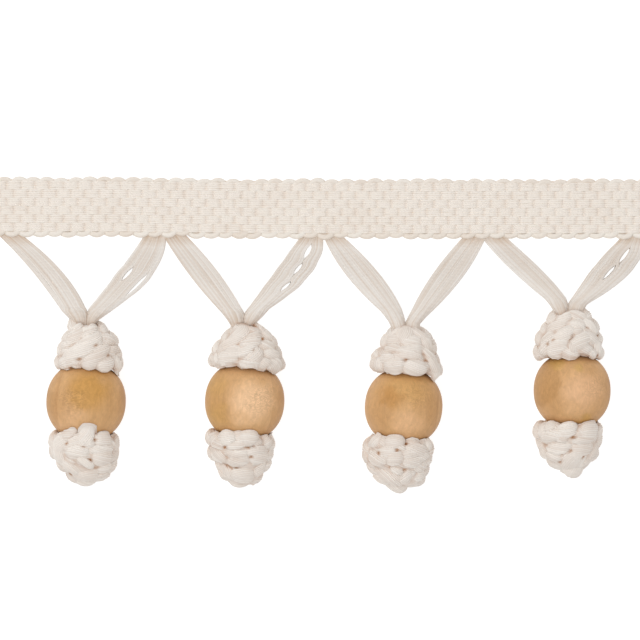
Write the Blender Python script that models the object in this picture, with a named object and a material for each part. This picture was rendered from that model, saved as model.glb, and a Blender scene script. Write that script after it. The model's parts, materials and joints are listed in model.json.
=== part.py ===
"""Wooden ball fringe: a woven cotton heading tape with four looped drops of yarn.

Each drop is a ribbon of yarn looped out of the tape's lower edge and gathered in a neck. Below it
come a knot, a turned wooden ball that turns on the yarn, and a second knot. The fringe lies on its
back on a level surface. +X runs along the tape, +Y from the drops to the tape, +Z up from the
surface. The origin is the middle of the tape's back. Sizes are in millimetres until a mesh is made.
"""
import math

import bmesh
import bpy
from mathutils import Vector

MM = 0.001
GAP = 0.3

# Heading tape: its notched width, the scallops where the weft turns, and its drift off straight
TAPE_LENGTH = 190.0
TAPE_THICKNESS = 2.0
TAPE_HALF_WIDTH = 7.45
SCALLOP_REACH = 0.85
SCALLOPS = 49
SCALLOP_STEPS = 3
TAPE_DRIFT = (  # along, aside
    (-95.0, 0.5),
    (-60.0, 0.45),
    (-20.0, 0.0),
    (30.0, -0.1),
    (95.0, 0.0),
)

# Ribbons of yarn: each arm of a loop runs from a root strip at the tape's edge to the neck
STRANDS_PER_ARM = 9
STRAND_WIDE = 0.5
STRAND_HIGH = 0.8
STRAND_STEPS = 7
STRAND_END_SHARE = 0.3
STRAND_END_REACH = 3.7
STRAND_END_INSET = 0.15
ROOT_TOP = -(TAPE_HALF_WIDTH + SCALLOP_REACH + GAP)
ROOT_BOTTOM = ROOT_TOP - 0.9
ROOT_THICKNESS = 1.4
ROOT_MARGIN = 0.1
LAYER_LIFT = 0.5
NECK_HEIGHT = 2.4
NECK_SIDES = 7
NECK_SECTIONS = (  # share of the height, half width, half thickness
    (0.0, 3.9, 3.2),
    (0.5, 4.7, 2.9),
    (1.0, 5.6, 2.1),
)

# Turned balls: slightly square in the shoulder, bored through for the yarn
SHOULDER_POWER = 2.15
BORE_RADIUS = 3.4
BALL_SEGMENTS = 24
BALL_BANDS = 11
ROUND_ALLOWANCE = 1.008
BORE_EDGE_ANGLE = 40

# Knots: fat lobes of yarn standing out of a core, hollowed to seat the ball
KNOT_SEGMENTS = 26
KNOT_ROWS = 14
GROOVE_DEPTH = 1.5
GROOVE_SHARE = 0.25
LEAST_WALL = 0.6
CREST_ROUNDNESS = 0.65
CUP_CLEARANCE = 0.45
CUP_ROWS = 2
CORD_RADIUS = 2.95

# Drops: ball middle from the tape's middle, ball radius, lean to the right in degrees, and the
# height of the arms' lowest station
DROPS = (  # across, along, radius, lean, low
    dict(across=-64.0, along=-52.8, radius=10.95, lean=3.0, low=-27.2),
    dict(across=-20.6, along=-52.7, radius=10.95, lean=3.5, low=-27.2),
    dict(across=22.9, along=-54.2, radius=10.7, lean=4.5, low=-27.8),
    dict(across=69.0, along=-49.8, radius=10.6, lean=0.0, low=-24.5),
)

# Arms: the ribbon's left and right edge at its root, middle and low station, from its ball's middle
ARMS = (  # left arm, right arm of each drop
    (dict(root=(-22.1, -15.5), middle=(-14.5, -6.4), low=(-7.5, -0.3)),
     dict(root=(14.5, 21.4), middle=(8.0, 17.8), low=(1.0, 7.9))),
    (dict(root=(-21.5, -14.9), middle=(-15.4, -7.0), low=(-7.7, -1.1)),
     dict(root=(14.3, 21.4), middle=(7.5, 17.2), low=(1.1, 6.6))),
    (dict(root=(-21.2, -15.2), middle=(-15.9, -6.4), low=(-7.2, -0.6)),
     dict(root=(15.6, 22.2), middle=(7.8, 16.7), low=(2.1, 9.0))),
    (dict(root=(-23.3, -16.5), middle=(-16.3, -8.2), low=(-7.5, -1.8)),
     dict(root=(13.2, 20.6), middle=(5.8, 16.8), low=(1.0, 6.9))),
)

# Knot outlines, from the end by the ball outwards: height from the ball's middle, radius, and how
# far the ring stands aside of the drop's axis
UPPER_OUTLINES = (  # up, radius, aside
    ((8.5, 9.1, 0.4), (10.1, 9.5, 0.4), (12.0, 9.2, 0.0), (14.8, 8.6, -0.1), (17.5, 7.8, 0.0),
     (20.2, 5.3, -0.8), (22.2, 3.9, -1.1)),
    ((8.5, 9.7, 0.2), (10.5, 10.5, -0.1), (13.3, 9.8, -0.2), (16.0, 8.3, -0.2), (18.7, 6.4, 0.2),
     (20.1, 5.3, -0.4), (21.8, 4.3, -1.2)),
    ((8.5, 9.3, 0.2), (10.7, 10.0, -0.1), (13.4, 9.3, -0.4), (16.1, 8.0, -0.4), (18.9, 7.2, -0.6),
     (21.6, 5.0, -0.9), (23.1, 4.1, -1.5)),
    ((8.5, 9.3, -0.6), (10.4, 9.7, -1.0), (13.1, 9.4, -1.0), (15.9, 8.6, -0.8), (18.6, 7.2, -0.3),
     (21.1, 5.5, -0.6), (22.2, 4.6, -0.9)),
)
LOWER_OUTLINES = (  # up, radius, aside
    ((-8.4, 9.1, 0.4), (-9.9, 9.5, 0.1), (-12.6, 9.7, 0.1), (-15.3, 9.3, 0.2), (-18.1, 7.9, 0.9),
     (-20.8, 5.6, 1.1), (-22.2, 3.0, 1.0), (-23.0, 0.8, 1.0)),
    ((-8.4, 9.2, -0.3), (-10.0, 9.6, -0.5), (-12.7, 9.2, -0.6), (-15.5, 8.8, -0.3),
     (-18.2, 7.1, 0.5), (-20.9, 5.9, 0.4), (-23.0, 3.2, 0.0), (-24.3, 0.8, 0.0)),
    ((-8.4, 9.2, -0.3), (-9.9, 9.4, -0.5), (-12.6, 9.7, -0.6), (-15.3, 9.3, -0.9),
     (-18.0, 7.9, 0.0), (-20.8, 6.4, 0.5), (-22.2, 3.0, 0.0), (-22.9, 0.8, 0.0)),
    ((-8.4, 9.0, -0.6), (-10.1, 9.3, -1.1), (-12.9, 9.7, -1.3), (-14.6, 8.7, -0.9),
     (-17.5, 8.1, -0.5), (-19.7, 6.3, -1.1), (-21.8, 3.8, -0.6), (-23.8, 0.8, -0.2)),
)

# Knot lobes seen from the front: place across the knot's middle line and up from the ball's middle,
# tilt in degrees (rising to the right), length and width. The back repeats them half a turn round.
UPPER_LOBES = (  # across, up, tilt, long, wide
    ((0.0, 21.2, 0, 6.0, 2.5), (-4.7, 18.4, 35, 5.5, 3.2), (-6.2, 15.2, 20, 4.5, 3.0),
     (-1.1, 17.0, 32, 13.0, 3.6), (-6.3, 11.1, 30, 6.5, 3.8), (-0.3, 11.9, 40, 7.5, 4.5),
     (5.9, 17.7, -30, 5.0, 3.0), (3.4, 14.1, 25, 6.0, 3.3), (5.3, 10.5, 20, 6.5, 3.8),
     (8.1, 13.3, 0, 5.0, 3.0), (8.2, 9.9, 10, 5.5, 3.5)),
    ((-2.6, 18.1, 25, 7.5, 4.8), (3.1, 20.3, 40, 4.0, 2.6), (1.3, 16.6, 36, 9.0, 3.5),
     (-5.6, 15.5, 30, 7.0, 3.8), (-5.9, 11.4, 20, 9.0, 4.6), (1.3, 12.1, 45, 7.5, 4.8),
     (5.2, 18.6, 0, 4.0, 2.9), (6.7, 15.8, -10, 5.0, 3.0), (7.5, 12.7, -5, 5.5, 3.8),
     (7.8, 9.4, -15, 5.5, 3.4), (-9.3, 10.0, 10, 5.0, 3.5)),
    ((-1.5, 20.2, 40, 4.5, 3.0), (3.3, 20.4, 10, 5.5, 3.0), (-4.7, 18.7, 25, 4.5, 3.0),
     (-5.1, 15.6, 15, 6.0, 2.9), (1.2, 17.4, 15, 7.0, 3.0), (1.3, 14.1, 20, 7.5, 3.5),
     (-4.6, 11.2, 20, 6.0, 4.2), (-8.8, 10.3, 10, 4.5, 2.8), (2.1, 10.7, 10, 6.8, 3.4),
     (6.3, 17.8, -20, 5.0, 3.2), (7.1, 14.0, -15, 5.5, 3.6), (7.5, 10.0, 60, 5.5, 4.0)),
    ((-3.8, 19.5, 40, 6.5, 3.8), (-4.7, 15.9, 30, 9.0, 3.6), (3.1, 19.6, -25, 7.5, 4.0),
     (5.6, 16.0, -20, 5.5, 3.3), (-4.7, 11.2, 15, 9.5, 4.3), (3.0, 12.3, 35, 6.0, 4.0),
     (7.7, 11.6, 60, 5.5, 3.6), (0.8, 15.8, 20, 5.0, 3.4)),
)
LOWER_LOBES = (  # across, up, tilt, long, wide
    ((-4.9, -8.8, 10, 4.5, 3.0), (0.2, -9.1, 10, 6.2, 3.8), (6.2, -9.3, 5, 6.5, 3.8),
     (-7.4, -13.2, -55, 7.0, 4.0), (-1.6, -14.0, 5, 6.5, 3.2), (5.2, -11.9, 5, 8.0, 2.6),
     (6.2, -15.3, 10, 7.5, 3.6), (0.2, -16.9, 0, 5.2, 2.6), (-4.2, -18.2, -35, 5.5, 3.6),
     (-0.1, -20.8, 0, 7.5, 4.2), (5.3, -19.2, 30, 5.0, 3.5)),
    ((-7.8, -9.2, 60, 4.5, 3.4), (-3.7, -9.5, 15, 6.2, 3.4), (3.0, -9.7, 10, 6.8, 3.6),
     (8.1, -10.8, 50, 5.0, 3.5), (-6.6, -12.3, 10, 5.0, 3.0), (-1.5, -12.9, 15, 6.6, 3.2),
     (5.4, -13.4, 10, 6.5, 3.1), (-6.5, -15.8, -30, 5.0, 3.6), (-1.4, -16.4, 10, 6.5, 3.2),
     (5.6, -16.0, 5, 6.3, 3.2), (-4.8, -19.9, -50, 4.8, 3.6), (0.6, -20.8, 5, 7.0, 5.2),
     (5.3, -19.5, 40, 4.5, 3.5)),
    ((-7.5, -8.9, 60, 5.0, 3.5), (-1.6, -9.4, 5, 7.4, 3.8), (5.9, -10.5, -5, 7.4, 3.2),
     (-7.7, -13.6, -60, 5.5, 3.4), (-2.6, -14.0, 15, 6.8, 3.7), (5.3, -13.6, 10, 8.3, 3.5),
     (4.8, -16.2, 5, 7.4, 2.6), (5.6, -19.5, 30, 4.5, 3.4), (-2.6, -19.7, -10, 9.0, 5.5)),
    ((-6.5, -9.2, 40, 5.2, 3.6), (-0.5, -9.5, 10, 7.4, 3.8), (6.3, -10.5, -10, 7.2, 4.0),
     (-4.5, -12.3, 5, 9.0, 2.9), (4.6, -13.4, -5, 8.5, 3.2), (-4.2, -15.2, 10, 9.0, 3.6),
     (4.4, -16.7, 5, 7.8, 3.7), (-4.9, -18.9, -40, 5.0, 3.5), (0.7, -20.4, 0, 6.8, 5.5),
     (5.2, -18.8, 40, 4.0, 2.8)),
)


def clear_scene():
    for item in list(bpy.data.objects):
        bpy.data.objects.remove(item, do_unlink=True)


def make_material(name, colour, roughness):
    material = bpy.data.materials.new(name)
    material.use_nodes = True
    shader = material.node_tree.nodes["Principled BSDF"]
    shader.inputs["Base Color"].default_value = (*colour, 1.0)
    shader.inputs["Roughness"].default_value = roughness
    shader.inputs["Metallic"].default_value = 0.0
    return material


def add_solid(name, points, faces, material, parent=None):
    """One closed body from points in millimetres, its faces turned outwards."""
    mesh = bpy.data.meshes.new(name)
    mesh.from_pydata([Vector(point) * MM for point in points], [], faces)
    shape = bmesh.new()
    shape.from_mesh(mesh)
    bmesh.ops.recalc_face_normals(shape, faces=shape.faces)
    shape.to_mesh(mesh)
    shape.free()
    mesh.materials.append(material)
    solid = bpy.data.objects.new(name, mesh)
    bpy.context.collection.objects.link(solid)
    solid.parent = parent
    return solid


def blend_rows(rows, place):
    """The values of a table at a place in its first column."""
    rows = sorted(rows)
    place = min(max(place, rows[0][0]), rows[-1][0])
    index = max(i for i in range(len(rows) - 1) if rows[i][0] <= place)
    start = rows[index]
    end = rows[index + 1]
    share = (place - start[0]) / (end[0] - start[0])
    return [a + (b - a) * share for a, b in zip(start[1:], end[1:])]


def ring_faces(first, second, count):
    """Quads between two rings of points that start at the given indices."""
    return [(first + i, first + (i + 1) % count, second + (i + 1) % count, second + i)
            for i in range(count)]


def turned_body(rings, start, end):
    """Points and faces of a body that closes on a pole at each end of its rings."""
    points = [point for ring in rings for point in ring]
    count = len(rings[0])
    faces = []
    for index in range(len(rings) - 1):
        faces += ring_faces(index * count, (index + 1) * count, count)
    last = (len(rings) - 1) * count
    points += [start, end]
    for i in range(count):
        turn = (i + 1) % count
        faces.append((i, turn, len(points) - 2))
        faces.append((last + i, last + turn, len(points) - 1))
    return points, faces


def heading_tape(material):
    """A flat tape whose long edges bulge between the notches of the turning weft."""
    steps = SCALLOPS * SCALLOP_STEPS
    edges = {1: [], -1: []}
    for side in edges:
        shift = 0.0 if side > 0 else 0.5
        for i in range(steps + 1):
            along = -TAPE_LENGTH / 2 + TAPE_LENGTH * i / steps
            bulge = abs(math.sin(math.pi * (i / SCALLOP_STEPS + shift)))
            drift = blend_rows(TAPE_DRIFT, along)[0]
            edges[side].append((along, drift + side * (TAPE_HALF_WIDTH + SCALLOP_REACH * bulge)))
    points = []
    for height in (0.0, TAPE_THICKNESS):
        points += [(x, y, height) for x, y in edges[1] + edges[-1]]
    row = steps + 1
    level = 2 * row
    faces = []
    for i in range(steps):
        faces.append((i, i + 1, row + i + 1, row + i))
        faces.append((level + i, level + i + 1, level + row + i + 1, level + row + i))
        faces.append((i, i + 1, level + i + 1, level + i))
        faces.append((row + i, row + i + 1, level + row + i + 1, level + row + i))
    for i in (0, steps):
        faces.append((i, row + i, level + row + i, level + i))
    return add_solid("heading_tape", points, faces, material)


def box_points(low, high):
    return [(x, y, z) for x in (low[0], high[0]) for y in (low[1], high[1])
            for z in (low[2], high[2])]


BOX_FACES = [(0, 1, 3, 2), (4, 5, 7, 6), (0, 1, 5, 4), (2, 3, 7, 6), (0, 2, 6, 4), (1, 3, 7, 5)]


def strand_path(drop, arm, spot, layer, neck):
    """Middle line of one strand: spot is its share of the ribbon's width, layer is up or down."""
    root = -TAPE_HALF_WIDTH - SCALLOP_REACH - 2 * GAP
    widths = [arm[key][0] + (arm[key][1] - arm[key][0]) * spot for key in ("root", "middle", "low")]
    path = []
    for i in range(STRAND_STEPS):
        share = i / (STRAND_STEPS - 1)
        across = (widths[0] * (1 - 2 * share) * (1 - share)
                  + widths[1] * 4 * share * (1 - share)
                  + widths[2] * share * (2 * share - 1))
        along = root + (drop["low"] - root) * share
        path.append([drop["across"] + across, along, share])
    path.append([neck[0], neck[1], 1.0])
    points = []
    for across, along, share in path:
        rise = share * share * (3 - 2 * share)
        rest = STRAND_HIGH / 2 + GAP
        height = rest + (drop["height"] - rest) * rise + layer * LAYER_LIFT * rise
        points.append(Vector((across, along, height)))
    return points


def strand_solid(points):
    """A four-sided tube along a path, its sides upright."""
    body = []
    for i, point in enumerate(points):
        run = points[min(i + 1, len(points) - 1)] - points[max(i - 1, 0)]
        side = Vector((-run.y, run.x, 0)).normalized() * STRAND_WIDE / 2
        lift = Vector((0, 0, STRAND_HIGH / 2))
        body += [point + side + lift, point - side + lift, point - side - lift, point + side - lift]
    faces = [(0, 1, 2, 3)]
    for i in range(len(points) - 1):
        faces += ring_faces(4 * i, 4 * (i + 1), 4)
    last = 4 * (len(points) - 1)
    faces.append((last, last + 1, last + 2, last + 3))
    return body, faces


def add_part(points, faces, more_points, more_faces):
    start = len(points)
    points += more_points
    faces += [tuple(start + i for i in face) for face in more_faces]


def ribbon_neck(drop, top, side):
    """One half of the gathered neck: half-oval sections that widen away from the knot."""
    rings = []
    middles = []
    for share, half_width, half_thickness in NECK_SECTIONS:
        up = top[0] + GAP + NECK_HEIGHT * share
        ring = []
        for i in range(NECK_SIDES):
            angle = math.pi * i / (NECK_SIDES - 1)
            across = side * (GAP / 2 + half_width * math.sin(angle))
            ring.append(drop_point(drop, (top[2] + across, up, half_thickness * math.cos(angle))))
        rings.append(ring)
        middles.append(drop_point(drop, (top[2] + side * half_width / 2, up, 0)))
    return turned_body(rings, middles[0], middles[-1])


def drop_point(drop, local):
    """A point given across, up and out from the ball's middle, in the fringe's own frame."""
    lean = math.radians(drop["lean"])
    across = local[0] * math.cos(lean) + local[1] * math.sin(lean)
    along = -local[0] * math.sin(lean) + local[1] * math.cos(lean)
    return Vector((drop["across"] + across, drop["along"] + along, drop["height"] + local[2]))


def ribbon(name, drop, arm, top, side, material):
    """One arm of a loop as strands that join in a root strip and in half of the neck."""
    points, faces = ribbon_neck(drop, top, side)
    low = (drop["across"] + arm["root"][0] - ROOT_MARGIN, ROOT_BOTTOM, 0.0)
    high = (drop["across"] + arm["root"][1] + ROOT_MARGIN, ROOT_TOP, ROOT_THICKNESS)
    add_part(points, faces, box_points(low, high), BOX_FACES)
    solid = add_solid(name, points, faces, material)
    strand_points = []
    strand_faces = []
    end_up = top[0] + GAP + NECK_HEIGHT * STRAND_END_SHARE
    for i in range(STRANDS_PER_ARM):
        spot = (i + 0.5) / STRANDS_PER_ARM
        inward = spot if side > 0 else 1 - spot
        end = side * (GAP + STRAND_END_INSET + STRAND_END_REACH * inward)
        neck = drop_point(drop, (top[2] + end, end_up, 0))
        layer = 1 if i % 2 else -1
        body, sides = strand_solid(strand_path(drop, arm, spot, layer, neck))
        add_part(strand_points, strand_faces, body, sides)
    strands = add_solid(name + "_strands", strand_points, strand_faces, material)
    strands.hide_render = True
    strands.display_type = "WIRE"
    union = solid.modifiers.new("fuse strands", "BOOLEAN")
    union.operation = "UNION"
    union.solver = "EXACT"
    union.object = strands
    return solid


def shoulder(radius, angle):
    """A point of the ball's profile: out from the axis and up it."""
    out = radius * math.cos(angle) ** (2 / SHOULDER_POWER)
    up = math.copysign(radius * abs(math.sin(angle)) ** (2 / SHOULDER_POWER), angle)
    return out, up


def bore_angle(radius, bore):
    """Where on the profile the given distance from the axis is reached."""
    return math.acos((bore / radius) ** (SHOULDER_POWER / 2))


def turned_radius(drop):
    """Radius of the ball's corners, a little large so that its flats lie on the true round."""
    return drop["radius"] * ROUND_ALLOWANCE


def profile_angle(radius, up):
    """Where on the profile the given height is reached."""
    return math.asin(min(1.0, abs(up) / radius) ** (SHOULDER_POWER / 2))


def hollow_radius(drop, up):
    """How far the ball's hollow in a knot reaches from the axis at a height."""
    radius = turned_radius(drop) + CUP_CLEARANCE
    return shoulder(radius, profile_angle(radius, up))[0]


def knot_lobes(outline, lobes):
    """Each lobe's turn round the knot, height, tilt, length and width, front and back."""
    placed = []
    for across, up, tilt, length, width in lobes:
        radius = blend_rows(outline, up)[0]
        turn = math.asin(max(-0.98, min(0.98, across / radius)))
        for half in (0.0, math.pi):
            placed.append((turn + half, up, math.radians(tilt), length, width))
    return placed


def lobe_cover(placed, turn, up, radius):
    """How far the knot's surface is filled out here: 1 on a lobe's crest, 0 in a groove."""
    cover = 0.0
    for lobe_turn, lobe_up, tilt, length, width in placed:
        round_way = (turn - lobe_turn + math.pi) % (2 * math.pi) - math.pi
        across = round_way * radius
        rise = up - lobe_up
        run = across * math.cos(tilt) + rise * math.sin(tilt)
        off = -across * math.sin(tilt) + rise * math.cos(tilt)
        rest = 1 - abs(2 * run / length) ** 3 - (2 * off / width) ** 2
        if rest > 0:
            cover = max(cover, rest ** CREST_ROUNDNESS)
    return cover


def outline_height(outline, share):
    """The height at a share of the way along an outline, measured on its surface."""
    steps = [math.dist(a[:2], b[:2]) for a, b in zip(outline, outline[1:])]
    left = share * sum(steps)
    for step, start, end in zip(steps, outline, outline[1:]):
        if left <= step:
            return start[0] + (end[0] - start[0]) * left / step
        left -= step
    return outline[-1][0]


def knot_rings(drop, outline, lobes):
    """The knot's outer rings, from the ball's side outwards, raised where lobes cross."""
    placed = knot_lobes(outline, lobes)
    rings = []
    for row in range(KNOT_ROWS + 1):
        up = outline_height(outline, row / KNOT_ROWS)
        radius, aside = blend_rows(outline, up)
        wall = radius - abs(aside) - LEAST_WALL - hollow_radius(drop, up)
        groove = max(0.0, min(GROOVE_DEPTH, radius * GROOVE_SHARE, wall))
        ring = []
        for i in range(KNOT_SEGMENTS):
            turn = 2 * math.pi * i / KNOT_SEGMENTS
            out = radius - groove * (1 - lobe_cover(placed, turn, up, radius))
            ring.append((aside + out * math.sin(turn), up, out * math.cos(turn)))
        rings.append(ring)
    return rings


def level_ring(radius, up):
    return [(radius * math.sin(2 * math.pi * i / KNOT_SEGMENTS), up,
             radius * math.cos(2 * math.pi * i / KNOT_SEGMENTS)) for i in range(KNOT_SEGMENTS)]


def cup_rings(drop, edge):
    """Rings of the hollow that seats the ball, from the yarn cord out to the rim."""
    radius = turned_radius(drop) + CUP_CLEARANCE
    inner = bore_angle(radius, CORD_RADIUS)
    rim = profile_angle(radius, edge)
    rings = []
    for row in range(CUP_ROWS + 1):
        out, up = shoulder(radius, inner + (rim - inner) * row / CUP_ROWS)
        rings.append(level_ring(out, math.copysign(up, edge)))
    return rings


def upper_knot(name, drop, outline, lobes, parent, material):
    """The cone-shaped knot between the ribbons' neck and the ball."""
    cup = cup_rings(drop, outline[0][0])
    start = (0, cup[0][0][1] + GAP / 2, 0)
    end = (outline[-1][2], outline[-1][0], 0)
    points, faces = turned_body(cup + knot_rings(drop, outline, lobes), start, end)
    return add_solid(name, points, faces, material, parent)


def lower_knot(name, drop, outline, lobes, parent, material):
    """The round knot under the ball, with the yarn cord that fills the ball's bore."""
    cup = cup_rings(drop, outline[0][0])
    cord_top = -cup[0][0][1] - GAP
    rings = [level_ring(CORD_RADIUS, cord_top)] + cup + knot_rings(drop, outline, lobes)
    start = (0, cord_top, 0)
    end = (outline[-1][2], outline[-1][0] - GAP, 0)
    points, faces = turned_body(rings, start, end)
    return add_solid(name, points, faces, material, parent)


def ball(name, drop, parent, material):
    """A turned ball, bored along local Y, with one flat facet straight down."""
    radius = turned_radius(drop)
    end_angle = bore_angle(radius, BORE_RADIUS)
    points = []
    for band in range(BALL_BANDS + 1):
        out, up = shoulder(radius, end_angle * (2 * band / BALL_BANDS - 1))
        for i in range(BALL_SEGMENTS):
            turn = 2 * math.pi * (i + 0.5) / BALL_SEGMENTS
            points.append((out * math.sin(turn), up, out * math.cos(turn)))
    faces = []
    for band in range(BALL_BANDS):
        faces += ring_faces(band * BALL_SEGMENTS, (band + 1) * BALL_SEGMENTS, BALL_SEGMENTS)
    faces += ring_faces(BALL_BANDS * BALL_SEGMENTS, 0, BALL_SEGMENTS)
    solid = add_solid(name, points, faces, material, parent)
    solid.data.shade_smooth()
    solid.data.set_sharp_from_angle(angle=math.radians(BORE_EDGE_ANGLE))
    return solid


def ball_rest_height(drop):
    """Height of the ball's middle when its lowest facet lies on the surface."""
    radius = turned_radius(drop)
    out = shoulder(radius, bore_angle(radius, BORE_RADIUS) / BALL_BANDS)[0]
    return out * math.cos(math.pi / BALL_SEGMENTS)


def drop_frame(number, drop):
    """An empty at the ball's middle, its Y along the ball's bore."""
    frame = bpy.data.objects.new("drop_%d" % number, None)
    bpy.context.collection.objects.link(frame)
    frame.location = Vector((drop["across"], drop["along"], drop["height"])) * MM
    frame.rotation_euler = (0.0, 0.0, -math.radians(drop["lean"]))
    return frame


def main():
    clear_scene()
    cotton = make_material("cotton_heading", (0.83, 0.76, 0.68), 0.9)
    yarn = make_material("cotton_yarn", (0.84, 0.77, 0.70), 0.92)
    knotted = make_material("cotton_knots", (0.82, 0.75, 0.67), 0.92)
    wood = make_material("turned_maple", (0.60, 0.36, 0.17), 0.45)
    heading_tape(cotton)
    for index, drop in enumerate(DROPS):
        number = index + 1
        drop["height"] = ball_rest_height(drop)
        frame = drop_frame(number, drop)
        upper = UPPER_OUTLINES[index]
        lower = LOWER_OUTLINES[index]
        left, right = ARMS[index]
        ribbon("ribbon_%d_left" % number, drop, left, upper[-1], -1, yarn)
        ribbon("ribbon_%d_right" % number, drop, right, upper[-1], 1, yarn)
        upper_knot("upper_knot_%d" % number, drop, upper, UPPER_LOBES[index], frame, knotted)
        ball("ball_%d" % number, drop, frame, wood)
        lower_knot("lower_knot_%d" % number, drop, lower, LOWER_LOBES[index], frame, knotted)
    bpy.context.view_layer.update()


main()
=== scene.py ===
import json
import math

import bmesh
import bpy
import numpy as np
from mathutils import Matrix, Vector
from mathutils.bvhtree import BVHTree


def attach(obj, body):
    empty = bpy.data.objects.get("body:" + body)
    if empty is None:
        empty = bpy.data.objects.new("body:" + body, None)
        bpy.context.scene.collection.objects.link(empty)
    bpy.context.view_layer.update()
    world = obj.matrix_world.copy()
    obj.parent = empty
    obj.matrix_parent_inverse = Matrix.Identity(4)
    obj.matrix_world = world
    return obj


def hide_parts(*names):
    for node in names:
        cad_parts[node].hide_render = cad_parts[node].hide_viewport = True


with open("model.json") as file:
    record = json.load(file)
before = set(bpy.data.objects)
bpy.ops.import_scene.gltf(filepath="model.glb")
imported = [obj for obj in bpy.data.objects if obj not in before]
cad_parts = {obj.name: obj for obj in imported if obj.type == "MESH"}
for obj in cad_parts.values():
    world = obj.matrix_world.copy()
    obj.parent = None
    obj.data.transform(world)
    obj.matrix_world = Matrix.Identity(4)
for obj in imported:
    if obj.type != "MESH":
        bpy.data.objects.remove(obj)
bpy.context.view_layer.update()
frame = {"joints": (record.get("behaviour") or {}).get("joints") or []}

# Sizes are in millimetres until a mesh is made. +X runs along the tape, +Y from the drops to the
# tape and +Z up from the surface that the fringe lies on.
MM = 0.001
DROP_COUNT = 4

# Heading tape: six rows of warp, each of four fine yarns side by side, float over one pick of weft
# and dip at the next. The weft turns in a loop at each edge.
TAPE_LENGTH = 190.0
TAPE_THICKNESS = 2.0
TAPE_SEED = 11
PICK_PITCH = 3.93  # two picks of weft lie in one pitch
WARP_ROWS = 6
YARNS_PER_ROW = 4
WARP_LOW_EDGE = -6.5
WARP_HIGH_EDGE = 7.35
WARP_YARN_RADIUS = 0.4
WARP_FACE_LEVEL = 1.6  # height of the yarns' middle lines where they float
WARP_BACK_LEVEL = 0.4
WARP_DIP = 0.4
WARP_DIP_WIDTH = 0.58
# The dips are painted darker with shade, by WARP_DIP_SHADE at their deepest
WARP_DIP_SHADE = 0.2
WARP_FACE_FINENESS = (11, 6)  # steps to a pitch, and sides
WARP_BACK_FINENESS = (6, 5)
# A slow unevenness shifts the dips, by a share of the pitch, and mottles the shade. A quick one
# strays single yarns aside and up. Each changes over such distances along, across and up.
WARP_DRIFT = (9.0, 1.6, 9.0)
WARP_UNEVEN = 0.16
WARP_MOTTLE = 0.3
WARP_STRAY = (4.0, 0.4, 4.0)
WARP_STRAY_ASIDE = 0.25
WARP_STRAY_UP = 0.15
WARP_SUMS = (  # one step of the weave's sums to a line: its name, its operation and its values
    ("across", "SUBTRACT", "y", "Low edge"),
    ("rows", "DIVIDE", "across", "Row width"),
    ("row", "FLOOR", "rows"),
    ("odd", "FLOORED_MODULO", "row", 2.0),
    ("shift", "MULTIPLY_ADD", "odd", 0.5, "Lag"),
    ("apart", "SUBTRACT", "drift", 0.5),
    ("sway", "MULTIPLY_ADD", "apart", "Uneven", "shift"),
    ("run", "DIVIDE", "x", "Pitch"),
    ("beat", "ADD", "run", "sway"),
    ("part", "FRACT", "beat"),
    ("off", "SUBTRACT", "part", 0.5),
    ("reach", "DIVIDE", "Pitch", "Dip width"),
    ("near", "MULTIPLY", "off", "reach"),
    ("square", "MULTIPLY", "near", "near"),
    ("minus", "MULTIPLY", "square", -1.0),
    ("hollow", "EXPONENT", "minus"),
    ("sink", "MULTIPLY", "hollow", "Dip"),
    ("level", "SUBTRACT", "Level", "sink"),
    ("loose", "SUBTRACT", "stray", 0.5),
    ("aside", "MULTIPLY", "loose", WARP_STRAY_ASIDE * MM),
    ("height", "MULTIPLY_ADD", "loose", WARP_STRAY_UP * MM, "level"),
    ("mottle", "MULTIPLY", "apart", WARP_MOTTLE),
    # painted shade in the dips, with a random mottle added
    ("shade", "MULTIPLY_ADD", "hollow", WARP_DIP_SHADE, "mottle"),
)
# Weft and ground: the picks run from edge to edge in a thin wavy sheet between the warp's two faces,
# and both are a little wider than the warp. Both are painted darker with shade, as they lie under the warp.
WEFT_RADIUS = 0.42
WEFT_SIDES = 6
WEFT_POINTS = 8
WEFT_SHADE = 0.4
GROUND_THICKNESS = 0.5
GROUND_MARGIN = 0.5
GROUND_WAVE = 0.1
GROUND_SHADE = 0.5
TAPE_DRIFT = (  # how far the tape drifts off straight: along, aside
    (-95.0, 0.5),
    (-60.0, 0.45),
    (-20.0, 0.0),
    (30.0, -0.1),
    (95.0, 0.0),
)
# Edge loops: where one notch between two turns lies along the tape, and the line of one turn
TOP_NOTCH = -85.05
TOP_LOOP = (  # share of the pitch, aside of the tape's middle, height
    (-0.52, 6.1, 0.9),
    (-0.48, 6.8, 1.2),
    (-0.36, 7.4, 1.4),
    (-0.15, 7.8, 1.4),
    (0.15, 7.8, 1.3),
    (0.36, 7.4, 1.15),
    (0.47, 6.8, 0.9),
    (0.50, 6.1, 0.8),
)
TOP_LOOP_RADIUS = 0.68
BOTTOM_NOTCH = -8.44
BOTTOM_LOOP = (
    (-0.64, -5.9, 0.75),
    (-0.47, -6.6, 0.85),
    (-0.22, -7.15, 1.1),
    (0.08, -7.28, 1.35),
    (0.33, -6.92, 1.4),
    (0.52, -6.3, 1.15),
    (0.63, -5.6, 0.9),
)
BOTTOM_LOOP_RADIUS = 0.81
LOOP_SIDES = 8
LOOP_UNEVEN = 0.14  # in place and in reach, in millimetres, at LOOP_OUT from the tape's middle
LOOP_OUT = 8.0
LOOP_WIDTH_UNEVEN = 0.04
LOOP_RADIUS_UNEVEN = 0.05
LOOP_SHADE = 0.25

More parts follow.
